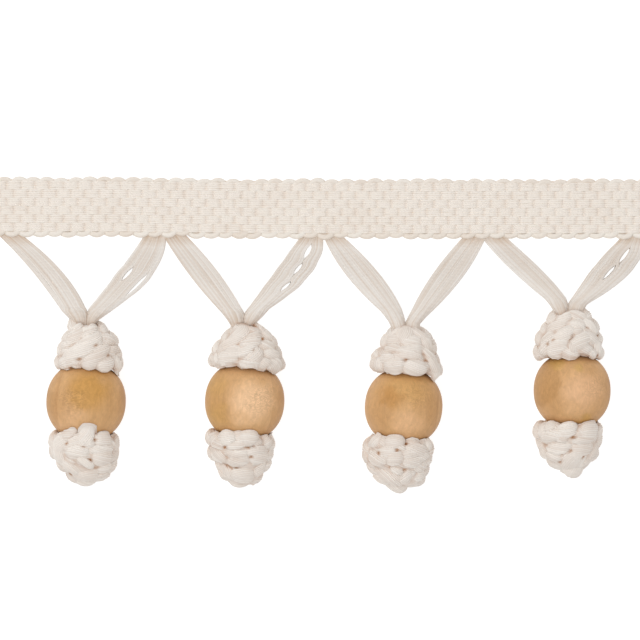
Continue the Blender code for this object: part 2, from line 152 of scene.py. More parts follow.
# Ribbons: each arm's left and right edge at its root, middle and low station, from its ball's middle
ARMS = (  # left arm, right arm of each drop
    (dict(root=(-22.7, -16.1), middle=(-14.2, -6.3), low=(-7.1, -0.3)),
     dict(root=(14.5, 21.4), middle=(8.0, 17.8), low=(1.0, 7.9))),
    (dict(root=(-21.5, -14.9), middle=(-15.2, -7.0), low=(-7.3, -1.1)),
     dict(root=(14.3, 21.4), middle=(7.6, 17.7), low=(1.1, 6.9))),
    (dict(root=(-21.2, -15.2), middle=(-15.5, -6.2), low=(-6.4, -0.5)),
     dict(root=(15.6, 22.2), middle=(7.8, 16.5), low=(2.3, 7.9))),
    (dict(root=(-23.3, -16.5), middle=(-16.3, -8.2), low=(-7.5, -1.8)),
     dict(root=(13.2, 20.6), middle=(5.8, 16.8), low=(0.1, 6.7))),
)
# The stations' places down from the tape's middle. The root is at the tape's edge, and the yarns go
# on under it to the hidden root.
ARM_LOWS = (-27.2, -27.2, -27.8, -24.5)
ARM_ROOT = -8.9
ARM_HIDDEN_ROOT = -6.6
ARM_HIDDEN_SHARE = -0.12  # shares of the arm's length run from 0 at the root to 1 at the low station
NECK_SHARES = ([1.15], [1.25], [1.35])  # and on through the neck
ARM_STEPS = 23
RIBBON_LAYERS = ((1, 0.37), (-1, 0.48))  # which side of the ribbon, how far apart its yarns lie
RIBBON_YARN_RADIUS = 0.29
RIBBON_SIDES = 8
RIBBON_RADIUS_UNEVEN = 0.07
RIBBON_REST = 0.75  # height of the ribbon's middle at the tape
RIBBON_LAYER_LIFT = 0.2  # each layer's distance from that, at the ribbon's edges
RIBBON_CROWN = 1.1  # and how much more it is between them
RIBBON_CROWN_POWER = 0.7
RIBBON_EDGE = 0.03  # no yarn wanders nearer than this to the ribbon's edges, as shares of its width
RIBBON_SPACING_UNEVEN = 0.08
RIBBON_WANDER = 0.007
RIBBON_WANDER_WAVE = 2.6
# The yarns are shaded under the tape and in the neck: shares of the arm, and the shade there
RIBBON_SHADE_SHARES = (-0.1, 0.0, 0.08, 1.1, 1.3)
RIBBON_SHADES = (0.7, 0.4, 0.1, 0.1, 0.4)
RIBBON_SHADE_UNEVEN = 0.45
# The V where a drop's two arms meet: its place across and up from the ball's middle, and the arms'
# outer edges at that height
NECKS = (
    dict(meet=(0.4, 24.5), edges=(-6.4, 5.8)),
    dict(meet=(-0.1, 23.9), edges=(-6.0, 5.0)),
    dict(meet=(0.5, 23.0), edges=(-3.9, 4.2)),
    dict(meet=(-1.1, 23.6), edges=(-5.9, 3.8)),
)
V_OPEN = 0.25  # half the gap between the two arms there
V_THICK = 2.2  # half thickness of an arm there
BELOW_V = (  # how far below the V, each arm's outer edge from the knot's axis, half thickness
    (1.9, 3.8, 2.4),
    (3.6, 2.6, 1.3),
)
SLITS = (  # drop, side, share along the arm, share across it, long, wide as a share of the ribbon
    (0, 1, 0.49, 0.31, 0.09, 0.17),
    (0, 1, 0.66, 0.84, 0.15, 0.13),
    (1, 1, 0.14, 0.56, 0.10, 0.20),
    (1, 1, 0.41, 0.57, 0.07, 0.15),
    (1, 1, 0.68, 0.62, 0.06, 0.20),
    (3, 1, 0.24, 0.55, 0.13, 0.17),
    (3, 1, 0.55, 0.48, 0.12, 0.15),
)
SLIT_SKEW = 0.01  # each layer's slits lie so far aside
SLIT_FADE = 0.25  # how far across the ribbon yarns are pushed aside

# Turned balls: slightly square in the shoulder, bored through for the yarn, with an eased lip
SHOULDER_POWER = 2.15
BORE_RADIUS = 3.4
BORE_LIP = 0.35
LIP_EASE = (0.3, 0.15)  # shares of the lip, outwards and down, where its bend lies
BALL_SEGMENTS = 72
BALL_BANDS = 40

# Knots: each ring's height from the ball's middle, its radius, and how far it stands aside of the
# drop's axis
UPPER_OUTLINES = (  # up, radius, aside
    ((8.5, 9.1, 0.4), (10.1, 9.5, 0.4), (12.0, 9.2, 0.0), (14.8, 8.5, 0.1), (17.5, 7.6, 0.4),
     (20.2, 5.3, -0.4), (22.2, 3.9, -1.7)),
    ((8.5, 9.7, 0.2), (10.5, 10.5, -0.1), (13.3, 9.8, -0.2), (16.0, 8.3, -0.2), (18.7, 6.4, 0.2),
     (20.1, 5.4, 0.0), (21.8, 4.3, -2.0)),
    ((8.5, 9.3, 0.2), (10.7, 10.0, -0.1), (13.4, 9.3, -0.4), (16.1, 8.0, -0.3), (18.9, 7.2, 0.2),
     (21.3, 4.9, -0.3), (22.5, 4.0, -0.9)),
    ((8.5, 9.3, -0.6), (10.4, 9.7, -1.0), (13.1, 9.4, -1.0), (15.9, 8.6, -0.8), (18.6, 7.2, -0.3),
     (21.1, 5.5, -0.6), (22.2, 4.6, -0.9)),
)
LOWER_OUTLINES = (  # up, radius, aside
    ((-8.4, 9.1, 0.4), (-9.9, 9.5, 0.1), (-12.6, 9.7, 0.1), (-15.3, 9.3, 0.2), (-18.1, 7.9, 0.9),
     (-20.8, 5.6, 1.1), (-22.2, 3.0, 1.0), (-23.0, 0.8, 1.0)),
    ((-8.4, 9.2, -0.3), (-10.0, 9.6, -0.5), (-12.7, 9.2, -0.6), (-15.5, 8.8, -0.3),
     (-18.2, 7.1, 0.5), (-20.9, 5.9, 0.4), (-23.0, 3.2, 0.0), (-24.3, 0.8, 0.0)),
    ((-8.4, 9.2, -0.3), (-9.9, 9.4, -0.5), (-12.6, 9.7, -0.6), (-15.3, 9.3, -0.9),
     (-18.0, 7.9, 0.0), (-20.8, 6.4, 0.5), (-22.2, 3.0, 0.0), (-22.9, 0.8, 0.0)),
    ((-8.4, 9.0, -0.6), (-10.1, 9.3, -1.1), (-12.9, 9.7, -1.3), (-14.6, 8.7, -0.9),
     (-17.5, 8.1, -0.5), (-19.7, 6.3, -1.1), (-21.4, 3.8, -0.6), (-23.0, 0.8, -0.2)),
)

# Lobes: place across the knot's front and up from the ball's middle, tilt in degrees (rising to the
# right), length, width, and how far the lobe stands proud. The back mirrors them.
UPPER_LOBES = (  # across, up, tilt, long, wide, proud
    ((0.2, 21.0, 15, 8.0, 2.6, -0.2), (1.2, 19.6, 25, 7.0, 2.8, 0.1), (-5.0, 18.8, 25, 5.5, 2.6, 0.0),
     (-4.2, 20.2, 38, 5.0, 2.6, 0.0), (-6.6, 15.6, 25, 5.5, 3.2, 0.1),
     (-2.6, 14.9, 37, 16.5, 4.4, 0.4), (-6.9, 10.9, 35, 5.0, 3.8, 0.1), (-4.2, 18.6, 35, 7.0, 3.6, 0.1),
     (2.9, 13.3, 35, 10.0, 4.0, 0.2), (6.4, 17.7, -10, 6.0, 3.2, 0.1),
     (5.7, 11.2, 28, 6.2, 3.8, 0.2), (8.2, 14.5, 0, 7.0, 3.0, 0.0), (9.0, 10.9, -60, 5.0, 3.2, 0.1),
     (-3.7, 10.7, 80, 2.6, 1.6, -0.2)),
    ((-2.8, 17.9, 60, 7.2, 5.2, -0.2), (-5.6, 16.3, 42, 8.0, 4.4, 0.1), (-4.7, 14.2, 15, 5.0, 2.4, -0.2),
     (-5.3, 12.3, 18, 9.0, 4.0, 0.2), (-9.2, 10.8, -45, 4.2, 3.4, 0.1), (1.7, 18.5, 25, 5.0, 2.4, 0.1),
     (1.0, 16.7, 20, 6.5, 2.6, 0.2), (-0.2, 14.7, 30, 6.5, 2.8, 0.2), (3.7, 20.7, 30, 4.0, 2.6, 0.0),
     (5.8, 18.9, -30, 5.0, 3.0, 0.0), (6.1, 16.4, -10, 6.0, 3.0, 0.0), (7.6, 13.8, -5, 7.0, 3.4, 0.1),
     (8.6, 10.3, -20, 6.5, 3.8, 0.2), (1.9, 12.9, 55, 6.0, 4.6, 0.2), (0.8, 10.7, 10, 6.0, 2.2, 0.0),
     (5.9, 11.2, -20, 4.0, 2.6, 0.0)),
    ((-1.5, 19.9, 85, 4.6, 5.0, 0.1), (-4.3, 20.4, 45, 4.5, 3.0, -0.1), (-5.2, 18.0, 20, 5.5, 2.8, 0.0),
     (-5.0, 15.8, 10, 6.0, 2.6, 0.0), (-6.6, 13.5, 18, 6.0, 2.6, 0.0), (-4.0, 11.8, 24, 6.6, 4.2, 0.2),
     (-8.7, 11.1, -70, 4.2, 3.0, 0.1), (0.7, 18.2, 10, 6.5, 2.6, 0.0), (0.1, 16.4, 10, 8.0, 2.8, 0.1),
     (0.7, 14.2, 10, 7.5, 3.4, 0.1), (2.4, 11.9, -5, 6.8, 4.2, 0.2), (3.2, 20.2, -28, 6.0, 3.0, 0.0),
     (5.8, 18.2, -40, 5.5, 3.2, 0.0), (6.8, 15.0, -25, 6.5, 3.4, 0.0), (8.0, 11.7, -50, 6.4, 3.6, 0.2),
     (8.8, 9.7, -70, 3.0, 2.6, 0.1)),
    ((-2.8, 20.6, 30, 5.5, 3.0, 0.0), (-4.7, 18.1, 30, 7.0, 3.4, 0.1), (1.9, 20.7, -15, 6.5, 3.0, 0.0),
     (-3.7, 15.3, 32, 8.5, 3.8, 0.2), (-8.0, 14.3, 45, 6.0, 3.0, -0.1), (-5.1, 11.9, 25, 7.0, 4.0, 0.2),
     (-9.0, 11.5, 60, 3.8, 3.4, 0.1), (1.5, 18.4, -10, 5.5, 3.2, 0.0), (5.4, 18.0, -35, 6.0, 3.4, 0.1),
     (5.8, 15.1, -15, 6.5, 3.2, 0.0), (2.7, 13.7, 35, 6.8, 4.2, 0.1), (7.5, 11.7, -70, 5.0, 3.6, 0.1),
     (-0.6, 11.8, -60, 3.6, 2.0, -0.2), (6.0, 9.9, -40, 3.4, 2.2, -0.2), (1.1, 16.3, 20, 4.5, 2.6, -0.1)),
)
LOWER_LOBES = (  # across, up, tilt, long, wide, proud
    ((-4.7, -8.8, 15, 4.6, 2.8, 0.1), (0.5, -9.9, 70, 4.4, 4.8, 0.2), (-7.3, -12.3, 55, 7.2, 4.6, 0.2),
     (-8.0, -14.4, -70, 8.0, 4.4, 0.2), (-2.8, -10.8, 28, 8.0, 3.2, 0.1), (1.4, -11.4, 10, 5.5, 2.6, 0.0),
     (-1.6, -14.1, 3, 7.0, 3.9, 0.2), (6.1, -9.5, 10, 5.8, 4.2, 0.1), (6.4, -12.4, 8, 8.0, 2.6, 0.1),
     (6.5, -15.2, 8, 7.5, 4.6, 0.2), (6.9, -18.1, 20, 6.0, 2.6, 0.0), (6.0, -19.9, 25, 4.5, 2.2, 0.0),
     (1.1, -17.2, -25, 5.0, 2.2, 0.1), (-3.4, -18.9, -35, 6.0, 3.8, 0.1), (1.1, -20.7, 5, 8.5, 4.6, 0.2),
     (-4.3, -16.7, -15, 5.0, 2.6, -0.1)),
    ((-8.8, -10.6, 60, 3.6, 3.2, 0.1), (-4.6, -9.9, 20, 4.6, 3.8, 0.4), (2.3, -9.9, 15, 5.4, 3.8, 0.4),
     (7.8, -10.7, 50, 3.8, 3.4, 0.1), (-7.2, -12.5, 0, 6.5, 2.8, 0.0), (-1.9, -12.0, 15, 6.0, 2.8, 0.0),
     (4.8, -13.0, 12, 7.5, 3.2, 0.1), (-1.0, -14.1, 8, 6.5, 2.4, 0.0), (-6.9, -15.9, -30, 6.0, 3.4, 0.0),
     (-1.1, -16.3, 5, 7.0, 3.4, 0.2), (5.8, -15.7, 8, 7.5, 3.2, 0.1), (-4.4, -20.2, -60, 5.0, 3.6, 0.0),
     (0.8, -20.6, 10, 7.5, 5.4, 0.2), (6.0, -18.8, 45, 5.0, 3.4, 0.0)),
    ((-7.7, -10.0, 74, 3.3, 3.4, 0.2), (-2.2, -10.1, 12, 5.8, 4.0, 0.2), (5.2, -10.8, -2, 8.0, 3.4, 0.1),
     (-4.2, -12.2, 12, 6.5, 2.8, 0.0), (-7.1, -15.1, -10, 7.0, 4.0, 0.1), (-1.7, -13.9, 20, 5.0, 3.6, 0.2),
     (3.7, -12.5, 5, 6.0, 2.4, 0.0), (4.1, -15.2, 5, 7.0, 3.2, 0.1), (7.2, -12.8, 0, 6.0, 3.0, -0.1),
     (6.5, -16.4, 0, 5.0, 2.6, 0.0), (6.4, -19.0, 20, 4.5, 3.4, 0.0), (-2.4, -20.0, -25, 9.5, 5.0, 0.2),
     (2.1, -20.1, 50, 5.5, 3.4, 0.1), (-0.6, -17.5, -10, 4.0, 2.0, 0.1),
     (8.2, -9.9, -50, 3.2, 2.8, 0.2)),
    ((-7.0, -9.7, 40, 3.0, 2.8, 0.5), (-2.4, -10.2, 24, 5.8, 3.8, 0.2), (-8.9, -11.0, 66, 4.2, 3.2, 0.1),
     (5.4, -10.9, 14, 7.0, 4.6, 0.1),
     (-6.5, -12.4, 5, 8.5, 2.9, 0.1), (-3.4, -12.0, -10, 4.0, 2.6, -0.1), (3.3, -13.4, 8, 8.0, 2.4, 0.0),
     (-4.9, -15.4, 8, 8.5, 3.6, 0.2), (2.9, -16.3, 5, 7.5, 3.8, 0.2), (6.8, -16.9, 60, 5.0, 3.0, 0.0),
     (-5.7, -18.9, -10, 5.5, 3.4, 0.0), (-0.2, -20.1, 75, 6.6, 6.4, 0.2), (4.3, -19.5, 50, 5.0, 3.0, 0.0),
     (-3.9, -21.0, -40, 3.0, 2.4, -0.2)),
)
TIP_LOBES = (  # one to each lower knot: across, up, tilt, long, wide, and out from the axis
    (0.9, -20.8, -4, 8.4, 5.2, 1.0),
    (0.2, -21.0, 10, 9.0, 5.8, 1.0),
    (-0.7, -20.2, -20, 9.5, 5.4, 1.0),
    (-0.2, -20.4, 80, 6.8, 6.4, 1.0),
)
# Small gaps where bundles part on the front of each knot, sunk and painted dark with shade, placed like the
# lobes
UPPER_GAPS = (  # across, up
    ((-5.1, 9.5), (-2.3, 12.4), (1.3, 15.6), (4.1, 18.0), (4.9, 12.9)),
    ((-2.5, 15.6), (-1.2, 12.2), (3.8, 16.7), (1.3, 14.8), (-4.2, 9.7), (-2.3, 9.9), (5.6, 9.8)),
    ((-3.3, 13.6), (-1.2, 12.1), (4.2, 15.4), (5.6, 12.5), (5.3, 9.6)),
    ((-0.4, 15.0), (-0.5, 15.9), (-5.9, 12.8), (-4.9, 13.4), (4.3, 10.4), (5.8, 10.0), (6.4, 14.1),
     (4.3, 17.4)),
)
LOWER_GAPS = (
    ((3.4, -9.3), (4.2, -10.2), (-3.5, -12.0), (0.5, -11.3), (1.5, -15.9), (3.2, -18.1), (-3.7, -19.7)),
    ((-4.8, -12.0), (1.7, -11.5), (3.7, -11.4), (-3.1, -14.9), (3.3, -14.6), (-1.6, -18.3),
     (-0.6, -18.2), (-4.7, -17.6)),
    ((1.0, -10.7), (-5.6, -13.7), (-2.5, -17.3), (-0.1, -16.1), (1.6, -18.0), (-1.7, -11.4)),
    ((0.9, -11.3), (-0.9, -12.1), (-7.3, -14.0), (-3.2, -16.7), (-0.8, -16.1), (-3.7, -18.9), (1.7, -18.1)),
)
KNOTS = (  # each drop's two knots, with the tables that hold them for all drops
    ("upper", UPPER_OUTLINES, UPPER_LOBES, UPPER_GAPS),
    ("lower", LOWER_OUTLINES, LOWER_LOBES, LOWER_GAPS),
)
# A gap may move a little to lie in a crease, found by looking down from above. It is then sunk and painted
# darker with shade, within its reach.
GAP_SEARCH = 0.9
GAP_STEPS = 9
GAP_ABOVE = 10.0
GAP_DEEPEST = 2.4
GAP_REACH = 0.5
GAP_BELOW = 0.4  # below its bottom a distance counts only this much, so that what lies there darkens
GAP_DEPTH = 0.6
GAP_SHADE = 0.8
# Under the lobes of the tables lies a plain layer of bundles in rows, and more stand on each flank.
# The first row is ROW_START spacings from the knot's rim.
ROW_START = 0.75
UNDER_ROW_SPACING = 2.9
UNDER_LOBE = (6.5, 3.6, -0.5)  # long, wide, proud
UNDER_ARC = 5.6  # distance between two bundles of a row
UNDER_LEAST = 4
UNDER_TILT = 12.0
UPPER_UNDER_LIFT = 0.67  # the upper knots' layer is laid this much higher
FLANK_ROW_SPACING = 3.4
FLANK_LOBE = (8.0, 3.6, 0.3)
FLANK_TILT = 18.0
FLANK_TURN = 98.0
# A lower knot's tip bundle is bent round a plain rod, of this radius and half length
TIP_BEND = 9.0
TIP_ROD = 60.0
# How finely a bundle is made: distance between its rings, and points round each of its yarns
FRONT_FINENESS = (0.75, 4)
OTHER_FINENESS = (1.3, 2)
UNDER_FINENESS = (2.0, 2)
# One bundle. The tables give what shows of it, so it is made longer and wider, and its ends dive
# between its neighbours. Its face has grooves between the yarns, and its back is plain.
LOBE_LONGER = 1.28
LOBE_WIDER = 1.2
LOBE_THICK_SHARE = 0.8
LOBE_BOW_SHARE = 0.05
LOBE_DIVE = 1.5
LOBE_TAPER_POWER = 2.6
LOBE_END_SHARE = 0.985
LOBE_END_RINGS = 3
LOBE_TILT_UNEVEN = 2.0
LOBE_LEAST_GIRTH = 2.5  # a bundle wraps round the knot as round no smaller radius
LOBE_TURN_LIMIT = 0.98  # and its middle lies no further across than this share of the radius
LOBE_FACE_ANGLE = 115.0
LOBE_BACK_POINTS = 5
LOBE_YARN = 0.55
LOBE_LAY = -0.3  # how far the yarns wind round it, in radians to each half width of its length
LOBE_GROOVE = 0.15
LOBE_UNEVEN = 0.05  # how far single yarns stand proud or lie low
LOBE_OVAL = 0.05
LOBE_LUMPY = 0.03
# Grooves and low yarns are painted darker, and proud yarns lighter, as shade and light fall on them
LOBE_GROOVE_SHADE = 0.18
LOBE_YARN_SHADE = 1.6  # how much lighter a yarn is for standing proud
LOBE_SHADE_UNEVEN = 0.08
ANY_PHASE = 6.0  # about a whole turn
# Painted shade darkens creases between these depths under the knot's outline, and less where they lie on the
# ball
CREASE_START = 0.5
CREASE_DEPTH = 1.6
CREASE_SHADE = 0.5
CREASE_FADE_UPS = (8.5, 10.5)
CREASE_FADES = (0.2, 1.0)
# A knot's outline goes on over the ball, to this height from the ball's middle. There it stands
# at least BALL_SKIN off the ball's face, and it is softened over OUTLINE_SOFTEN.
OUTLINE_REACH = 5.5
OUTLINE_SAMPLES = 160
OUTLINE_SOFTEN = 1.2
BALL_SKIN = 1.6
# A knot's core lies inside its bundles, with a cup for the ball, and on a lower knot the cord
CORE_SEGMENTS = 48
CORE_ROWS = 22
CORE_SINK = 1.0  # how far it lies under the outline
CORE_RIM = 10.3  # height of the cup's rim from the ball's middle
CORE_TIP = 1.5  # how far its tip stays inside the knot's
CORE_WALL = 0.35
CORE_LEAST = 0.4
CORE_WAVES = 9  # waves round it, their depth, and how they turn with height
CORE_WAVE_DEPTH = 0.12
CORE_WAVE_LEAN = 2.2
CORE_YARNS = 6
# The core is painted a little darker with shade, as it lies inside the bundles
CORE_SHADE = 0.2
CORD_RADIUS = 2.9
CORD_SHORT = 3.4  # the cord's end stays so far inside the ball's far side, clearance and all
CUP_RINGS = 5
CUP_CLEARANCE = 0.3
CUP_SOFT = 0.3  # how softly yarn is laid over the ball's face
CUP_FREE = 4.0  # so many times CUP_SOFT clear of the ball, yarn stays where it is
CUP_LIMIT = 30.0
CUP_POLE = 0.5  # where the ball's face is nearer to its axis than this, nothing is moved
LEAST_AWAY = 0.01
LEAST_HEIGHT = 0.02  # no point of a drop lies lower than this
DROP_SEED = 100

# Pieces made point by point keep an edge that folds by more than this as a sharp one.
SHARP_ANGLE = math.radians(75.0)

# The camera looks straight down on the fringe. The photograph's 640 pixels take in PICTURE_WIDTH at
# the height of the yarn.
PICTURE_WIDTH = 176.0
PICTURE_MIDDLE = (0.0, -30.5)
CAMERA_HEIGHT = 1205.0
YARN_HEIGHT = 5.0
SENSOR_WIDTH = 36.0
# The paper lies a little under the fringe. The studio's sizes and places are in metres.
PAPER_BELOW = 0.0002
PAPER_HALF_SIZE = 2.0
CAMERA_SIGHT = 10.0
STUDIO_GLOW = 0.58
LIGHTS_AIM = (0.0, PICTURE_MIDDLE[1] * MM, 0.01)
LIGHTS = (  # name, place, size, power
    ("broad_soft_light", (-0.15, -0.02, 1.3), 0.9, 7.0),
    ("upper_left_light", (-0.9, 0.8, 0.9), 0.5, 2.7),
)


def linear(code):
    """A hex sRGB colour as linear RGBA."""
    parts = [int(code[i:i + 2], 16) / 255 for i in (1, 3, 5)]
    return [c / 12.92 if c <= 0.04045 else ((c + 0.055) / 1.055) ** 2.4 for c in parts] + [1.0]


def add_node(tree, kind, inputs=None, **settings):
    """A node with its settings, and each input set to a value or linked to an output."""
    node = tree.nodes.new(kind)
    for name, value in settings.items():
        setattr(node, name, value)
    for key, value in (inputs or {}).items():
        if isinstance(value, bpy.types.NodeSocket):
            tree.links.new(value, node.inputs[key])
        else:
            node.inputs[key].default_value = value
    return node


# Places of a Mix node's two colours among its inputs
COLOUR_A = 6
COLOUR_B = 7


def new_material(name, **values):
    """A Principled material with its plain values set, and its shader to add to."""
    material = bpy.data.materials.new(name)
    material.use_nodes = True
    shader = material.node_tree.nodes["Principled BSDF"]
    for key, value in values.items():
        shader.inputs[key.replace("_", " ")].default_value = value
    return material, shader


# Each crease colour is painted shade, mixed in by the shade attribute in creases, dips and under other yarn
COTTONS = {  # colours of crests and creases, length of one turn of the plies, strength of the relief
    # Fine warp, woven close: the heading's even, slightly warm face
    "woven_cotton_warp": ("#EEE6DD", "#D0B7A1", 1.1, 0.25),
    # Thicker and softer weft: the scallops at the heading's edges, and what shows in its dips
    "cotton_weft": ("#ECE5DC", "#CEB49C", 1.4, 0.3),
    # Smooth plied yarn, laid side by side: the cooler, silkier ribbons
    "plied_cotton_yarn": ("#EAE6E1", "#CDB8A4", 1.3, 0.3),
    # The same kind of yarn tied in bundles: bright crests, and warm brown painted shade for its creases
    "knotted_cotton_yarn": ("#EFE8E0", "#AC7A4F", 1.2, 0.35),
}
COTTON_PLIES = 2.0
COTTON_FIBRE = 0.25
COTTON_FIBRE_HEIGHT = 0.8
COTTON_RELIEF = 0.06
COTTON_CLOUD = 6.0  # size of the faint clouds of warmer and cooler yarn
COTTON_CLOUD_SHADE = 0.24


def yarn_twist(tree, lay):
    """A height that winds round each yarn, from the turn and the length stored on its points."""
    turn = add_node(tree, "ShaderNodeAttribute", attribute_name="round")
    length = add_node(tree, "ShaderNodeAttribute", attribute_name="along")
    split = add_node(tree, "ShaderNodeSeparateXYZ", {0: turn.outputs["Vector"]})
    angle = add_node(tree, "ShaderNodeMath", {0: split.outputs["Y"], 1: split.outputs["X"]},
                     operation="ARCTAN2")
    wound = add_node(tree, "ShaderNodeMath", {0: angle.outputs[0], 1: COTTON_PLIES},
                     operation="MULTIPLY")
    phase = add_node(tree, "ShaderNodeMath",
                     {0: length.outputs["Fac"], 1: 2 * math.pi / (lay * MM), 2: wound.outputs[0]},
                     operation="MULTIPLY_ADD")
    return add_node(tree, "ShaderNodeMath", {0: phase.outputs[0]}, operation="SINE").outputs[0]


def cotton(name):
    """Soft spun cotton yarn in natural cream, combed and loosely plied: wholly matt, its crests catch a soft
    light, each yarn shows the slant of its plies, and the creases between yarns are painted warm tan as
    shade, by the shade attribute. Fibres are about 0.02 mm; they are drawn at 0.25 mm so that they show."""
    crest, crease, lay, strength = COTTONS[name]
    material, shader = new_material(name, Roughness=0.92, Sheen_Weight=0.06, Sheen_Roughness=0.5,
                                    Specular_IOR_Level=0.2)
    tree = material.node_tree
    place = add_node(tree, "ShaderNodeTexCoord")
    fibre = add_node(tree, "ShaderNodeTexNoise",
                     {"Vector": place.outputs["Object"], "Scale": 1 / (COTTON_FIBRE * MM), "Detail": 2.0})
    cloudy = add_node(tree, "ShaderNodeTexNoise",
                      {"Vector": place.outputs["Object"], "Scale": 1 / (COTTON_CLOUD * MM), "Detail": 2.0})
    shade = add_node(tree, "ShaderNodeAttribute", attribute_name="shade")
    warm = add_node(tree, "ShaderNodeMath",
                    {0: cloudy.outputs["Fac"], 1: COTTON_CLOUD_SHADE, 2: -COTTON_CLOUD_SHADE / 2},
                    operation="MULTIPLY_ADD")
    depth = add_node(tree, "ShaderNodeMath", {0: shade.outputs["Fac"], 1: warm.outputs[0]},
                     operation="ADD", use_clamp=True)
    # the shade attribute mixes in painted shade, with faint random clouds of warmer and cooler yarn
    colour = add_node(tree, "ShaderNodeMix",
                      {0: depth.outputs[0], COLOUR_A: linear(crest), COLOUR_B: linear(crease)},
                      data_type="RGBA")
    height = add_node(tree, "ShaderNodeMath",
                      {0: fibre.outputs["Fac"], 1: COTTON_FIBRE_HEIGHT, 2: yarn_twist(tree, lay)},
                      operation="MULTIPLY_ADD")
    bump = add_node(tree, "ShaderNodeBump",
                    {"Strength": strength, "Distance": COTTON_RELIEF * MM, "Height": height.outputs[0]})
    tree.links.new(colour.outputs[2], shader.inputs["Base Color"])
    tree.links.new(bump.outputs["Normal"], shader.inputs["Normal"])
    return material


WOOD_NOISES = (  # name, how many to a millimetre across, up and out, detail, distortion
    ("cloud", (0.16, 0.07, 0.16), 2.0, 0.0),
    ("patchy", (0.22, 0.22, 0.22), 2.0, 0.0),
    ("curl", (1.0, 2.5, 1.0), 1.0, 1.8),
    ("fibre", (3.0, 0.15, 3.0), 2.0, 0.0),
    ("fleck", (1.2, 0.6, 1.2), 3.0, 0.8),
)
# Each ball's wood: the pith's place across and out from the ball's middle, where a growth line crosses
# the front, the rings' width, where the curly figure lies (across, up, radius, strength), and patches
# of colour (colour, across, up, inner and outer radius, strength)
WOODS = (
    dict(pith=(-34.0, -4.0), line=-7.5, ring=20.0, curl=(-3.2, 0.4, 5.0, 1.0), patches=(
        ("#DDB287", -3.0, -5.0, 0.0, 6.5, 0.6), ("#C3914D", 1.0, 3.4, 1.5, 8.5, 0.9),
        # painted shade on the ball's left edge
        ("#B98D5C", -11.4, 0.0, 2.0, 5.0, 0.7))),
    dict(pith=(33.0, -6.0), line=7.9, ring=20.0, curl=(4.2, 0.8, 5.0, 1.0), patches=(
        ("#C79B5B", -8.8, 4.0, 0.0, 7.0, 0.6),
        # the last is a pale rosy middle: the wood's rosy tone, and a painted soft highlight where the ball
        # faces the light
        ("#C79B5B", -8.0, -4.5, 0.0, 7.0, 0.7), ("#E9C096", 2.2, 0.2, 1.0, 9.4, 0.95))),
    dict(pith=(-30.0, 8.0), line=9.2, ring=23.0, curl=(2.6, 3.0, 5.0, 0.6), patches=(
        ("#CC9D5F", 0.0, 6.0, 2.0, 9.5, 0.6), ("#DFB285", 1.6, -4.0, 0.0, 7.0, 0.8),
        ("#B8854A", -3.7, 2.8, 0.3, 5.5, 0.8))),
    dict(pith=(-28.0, -10.0), line=9.6, ring=22.0, curl=(6.0, 0.6, 4.0, 0.6), patches=(
        # the first is a pale rosy middle: the wood's rosy tone, and a painted soft highlight where the ball
        # faces the light
        ("#E0B389", 2.4, 0.0, 0.5, 8.5, 0.85), ("#B98C5A", -11.6, 3.0, 7.1, 9.0, 0.75),
        ("#C39A4E", -4.4, 8.1, 0.3, 3.6, 0.6), ("#C8A25C", 1.4, 6.4, 0.2, 2.4, 0.5),
        ("#C3964E", 2.8, -8.4, 0.2, 3.0, 0.6))),
)
# What all four balls' wood has in common, and how strongly each figure tells
WOOD_PALE = "#D0A473"
WOOD_DEEP = "#B98B5B"
WOOD_TONES = (0.35, 0.95)  # the tones at which the colour is still pale, and wholly deep
WAVE_REPEAT = math.pi / 10  # the wave texture's rings lie this far apart at a scale of 1
RING_SHARPNESS = 5.0
RING_TONE = 0.3
PATCH_RAGGED = 6.0  # how far the patches' edges wander, in millimetres
CURL_CORE = 0.4  # share of its radius where the curly figure is strongest
CURL_SHADES = (0.24, 0.03)  # its strength there, and beyond its radius
CURL_NOISES = (0.42, 0.6)  # the noise between these makes the dashes, from dark to light
CURL_DASHES = (0.75, -0.25)
FLECK_BASE = 0.77  # the colour is multiplied by this, plus or less what the finer figures add
FLECK_SHADE = 0.4
FIBRE_SHADE = 0.14
WOOD_RELIEF = 0.03
WOOD_RELIEF_STRENGTH = 0.15


def growth_rings(tree, local, wood, radius):
    """Growth rings round the tree's pith, one of which crosses the ball's front at the wood's line."""
    pith_across, pith_out = wood["pith"]
    front = math.sqrt(radius ** 2 - wood["line"] ** 2)
    line_radius = math.hypot(wood["line"] - pith_across, front - pith_out)
    pith = add_node(tree, "ShaderNodeMapping", {"Vector": local, "Location": (-pith_across, 0.0, -pith_out)})
    rings = add_node(tree, "ShaderNodeTexWave",
                     {"Vector": pith.outputs[0], "Scale": WAVE_REPEAT / wood["ring"], "Distortion": 0.4,
                      "Detail": 1.0, "Detail Scale": 0.4,
                      "Phase Offset": -2 * math.pi * line_radius / wood["ring"]},
                     wave_type="RINGS", rings_direction="Y", wave_profile="SAW")
    return add_node(tree, "ShaderNodeMath", {0: rings.outputs["Fac"], 1: RING_SHARPNESS},
                    operation="POWER").outputs[0]


def fading_spot(tree, flat, spot, radii, strengths, fade):
    """A strength that changes from a spot's inner radius to its outer one."""
    away = add_node(tree, "ShaderNodeVectorMath", {0: flat, 1: (*spot, 0.0)}, operation="DISTANCE")
    share = add_node(tree, "ShaderNodeMapRange",
                     {"Value": away.outputs["Value"], "From Min": radii[0], "From Max": radii[1],
                      "To Min": strengths[0], "To Max": strengths[1]}, interpolation_type=fade)
    return share.outputs[0]


